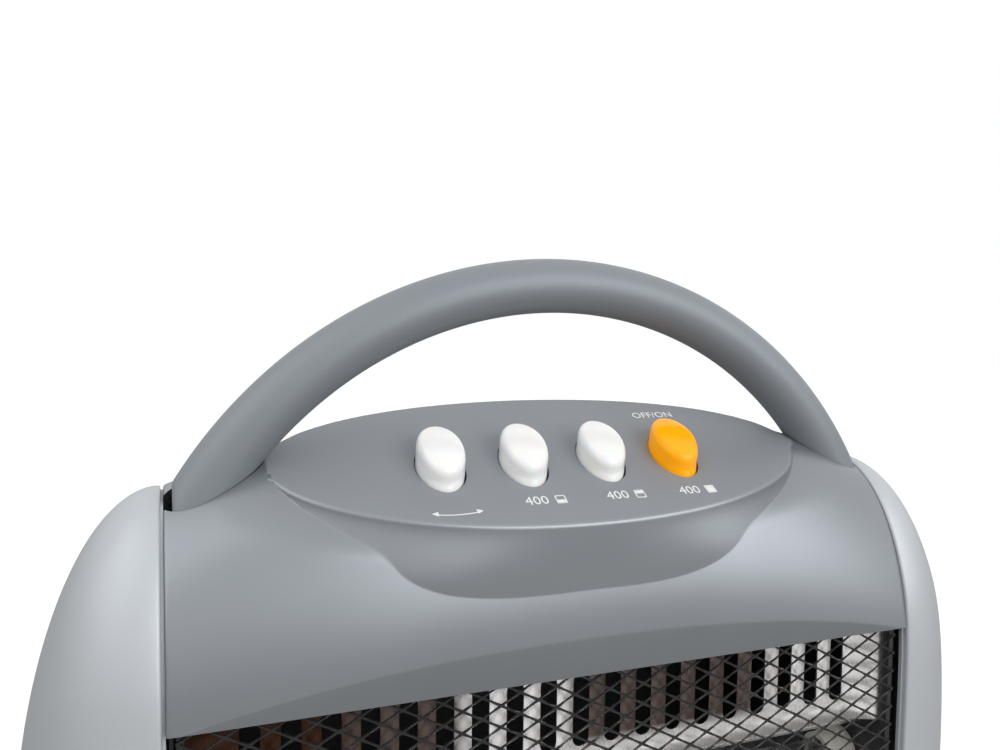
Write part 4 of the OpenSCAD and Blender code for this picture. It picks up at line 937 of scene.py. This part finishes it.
# CAD nodes that show as they are, welded and with softened edges
SOFTENED = {"swivel_plate": 0.5, "glide_ring": 0.2, "rubber_feet": 0.8, "cord_bush": 0.4,
            "base_plate": 0.2, "ceramic_caps_top": 0.3, "ceramic_caps_middle": 0.3, "ceramic_caps_bottom": 0.3,
            "swing_switch": 0.25, "heat_switch_1": 0.25, "heat_switch_2": 0.25, "power_switch": 0.25,
            "side_plate_left": 0.15, "side_plate_right": 0.15, "rear_screws": 0.15, "base_screws": 0.15}
for name, obj in nodes.items():
    if obj.hide_render:
        continue
    for material_slot in obj.material_slots:
        material_slot.material = BY_SLOT[slot_of[name]]
    weld = obj.modifiers.new("weld", "WELD")
    weld.merge_threshold = 0.005 * MM
    if name in SOFTENED:
        edge = obj.modifiers.new("edge", "BEVEL")
        edge.width, edge.segments, edge.limit_method = SOFTENED[name] * MM, 2, "ANGLE"
        edge.angle_limit = math.radians(40)
        edge.harden_normals = True


# Printed marks on the panel
def mark_matrix(x, y):
    return panel_matrix(x) @ Matrix.Translation((0, y, INK))


def text_part(body, size):
    """Outline lettering as a thin flat mesh, centred on its origin."""
    curve = bpy.data.curves.new("mark", "FONT")
    curve.body, curve.size, curve.extrude = body, size, INK
    curve.align_x, curve.align_y = "CENTER", "CENTER"
    curve.resolution_u = 3
    obj = bpy.data.objects.new("mark", curve)
    scene.collection.objects.link(obj)
    mesh = bpy.data.meshes.new_from_object(obj.evaluated_get(bpy.context.evaluated_depsgraph_get()))
    part = ([tuple(v.co) for v in mesh.vertices], [tuple(p.vertices) for p in mesh.polygons])
    bpy.data.objects.remove(obj)
    bpy.data.meshes.remove(mesh)
    return part


def flat_part(outline):
    return prism_part(outline, -INK, INK)


def bar_part(x0, y0, x1, y1):
    d = Vector((x1 - x0, y1 - y0)).normalized() * (LINE_W / 2)
    n = Vector((-d.y, d.x))
    a, b = Vector((x0, y0)), Vector((x1, y1))
    return flat_part([tuple(a - n), tuple(b - n), tuple(b + n), tuple(a + n)])


def bowed(x):
    """Point on the arrow's line, which hangs down in the middle."""
    half, depth = 7, 0.7
    return x, -depth * (1 - (x / half) ** 2)


arrow = [bar_part(*bowed(x), *bowed(x + 1)) for x in range(-6, 6)]
arrow += [flat_part([(7.6, 0.35), (5.6, 1.05), (5.8, -0.85)]), flat_part([(-7.6, 0.35), (-5.8, -0.85), (-5.6, 1.05)])]
marks = [moved(join(arrow), mark_matrix(-41.0, -19.2))]
for x, filled in ((-15.0, (0.0, 0.45)), (11.6, (0.55, 1.0)), (37.0, (0.0, 1.0))):
    marks.append(moved(text_part("400", 5.0), mark_matrix(x - 1.0, MARK_Y)))
    left, low, w, h = 5.2, -1.6, 3.0, 3.2
    right, high, y0, y1 = left + w, low + h, low + h * filled[0], low + h * filled[1]
    square = [bar_part(left, low, right, low), bar_part(left, high, right, high),
              bar_part(left, low, left, high), bar_part(right, low, right, high),
              flat_part([(left, y0), (right, y0), (right, y1), (left, y1)])]
    marks.append(moved(join(square), mark_matrix(x, MARK_Y)))
marks.append(moved(text_part("OFF/ON", 4.4), mark_matrix(43.0, 24.0)))
ink = new_object("panel_marks", *join(marks), smooth=False)
ink.data.materials.append(white_ink)
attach(ink, "head")

# Stage, light and camera
def stage_plane():
    """Matt floor that shows white to the camera, and in a band before the heater to its metal and glass."""
    mat = bpy.data.materials.new("floor")
    mat.use_nodes = True
    tree = mat.node_tree
    tree.nodes.clear()
    out = tree.nodes.new("ShaderNodeOutputMaterial")
    matt = tree.nodes.new("ShaderNodeBsdfDiffuse")
    matt.inputs["Color"].default_value = (0.20, 0.19, 0.18, 1)
    path = tree.nodes.new("ShaderNodeLightPath").outputs
    front = span(tree, object_axes(tree)["Y"], 0.0, -1.0, 0.0, 1.0)
    dim, bright = (0.05, 0.05, 0.05), (0.9, 0.9, 0.9)
    band = ramp(tree, front, [(0.42, dim), (0.47, bright), (0.70, bright), (0.76, dim)])
    seen = combine(tree, "MAXIMUM", path["Is Glossy Ray"], path["Is Transmission Ray"])
    shown = combine(tree, "ADD", path["Is Camera Ray"], combine(tree, "MULTIPLY", seen, band))
    light = tree.nodes.new("ShaderNodeEmission")
    tree.links.new(combine(tree, "MULTIPLY", shown, 0.95), light.inputs["Strength"])
    both = tree.nodes.new("ShaderNodeAddShader")
    tree.links.new(matt.outputs[0], both.inputs[0])
    tree.links.new(light.outputs[0], both.inputs[1])
    tree.links.new(both.outputs[0], out.inputs["Surface"])
    floor = new_object("floor", [(*corner, 0) for corner in rectangle(6000, -6000, 6000)], [(0, 1, 2, 3)])
    floor.data.materials.append(mat)


stage_plane()
world = bpy.data.worlds.new("studio")
scene.world = world
world.use_nodes = True
wt = world.node_tree
sky = wt.nodes["Background"]
path = wt.nodes.new("ShaderNodeLightPath")
heights = wt.nodes.new("ShaderNodeSeparateXYZ")
wt.links.new(wt.nodes.new("ShaderNodeTexCoord").outputs["Generated"], heights.inputs[0])
fade = span(wt, heights.outputs["Z"], -0.05, 0.30, 0.35, 1.0)
fade.node.interpolation_type = "SMOOTHSTEP"


def world_mix(choice, low, high):
    """The strength high for one kind of ray and low for the others."""
    mix = wt.nodes.new("ShaderNodeMix")
    mix.data_type = "FLOAT"
    wt.links.new(path.outputs[choice], mix.inputs[0])
    wt.links.new(low, mix.inputs[2])
    mix.inputs[3].default_value = high
    return mix.outputs[0]


sky.inputs["Color"].default_value = (1, 1, 1, 1)
lit = world_mix("Is Diffuse Ray", fade, 0.72)
wt.links.new(world_mix("Is Camera Ray", lit, 1.0), sky.inputs["Strength"])


def area_light(name, place, size, power):
    """Soft light that faces the middle of the heater."""
    target = (0, 0, 0.3)
    data = bpy.data.lights.new(name, "AREA")
    data.shape, data.size, data.size_y, data.energy = "RECTANGLE", size[0], size[1], power
    obj = bpy.data.objects.new(name, data)
    scene.collection.objects.link(obj)
    obj.location = place
    obj.rotation_euler = (Vector(target) - Vector(place)).to_track_quat("-Z", "Y").to_euler()


area_light("key", (1.08, -1.87, 1.05), (2.0, 1.7), 26)
area_light("side", (-1.3, -0.4, 1.5), (2.0, 1.6), 8)

CAMERA_AT = Vector((-0.117097, -0.264408, 0.3718))
YAW, PITCH, TURN, FOCAL_PX = math.radians(20.98), math.radians(3.93), math.radians(0.7126), 876.23
ahead = Vector((math.sin(YAW), math.cos(YAW), 0))
level_right = Vector((math.cos(YAW), -math.sin(YAW), 0))
upright = Vector((0, 0, 1))
forward = ahead * math.cos(PITCH) - upright * math.sin(PITCH)
above = upright * math.cos(PITCH) + ahead * math.sin(PITCH)
right = level_right * math.cos(TURN) + above * math.sin(TURN)
up = above * math.cos(TURN) - level_right * math.sin(TURN)
camera_data = bpy.data.cameras.new("camera")
camera_data.sensor_width, camera_data.lens = 36.0, 36.0 * FOCAL_PX / 1000
camera_data.clip_start, camera_data.clip_end = 0.01, 50
camera = bpy.data.objects.new("camera", camera_data)
scene.collection.objects.link(camera)
camera.matrix_world = Matrix.Translation(CAMERA_AT) @ Matrix((right, up, -forward)).transposed().to_4x4()
scene.camera = camera
scene.view_settings.view_transform = "Standard"
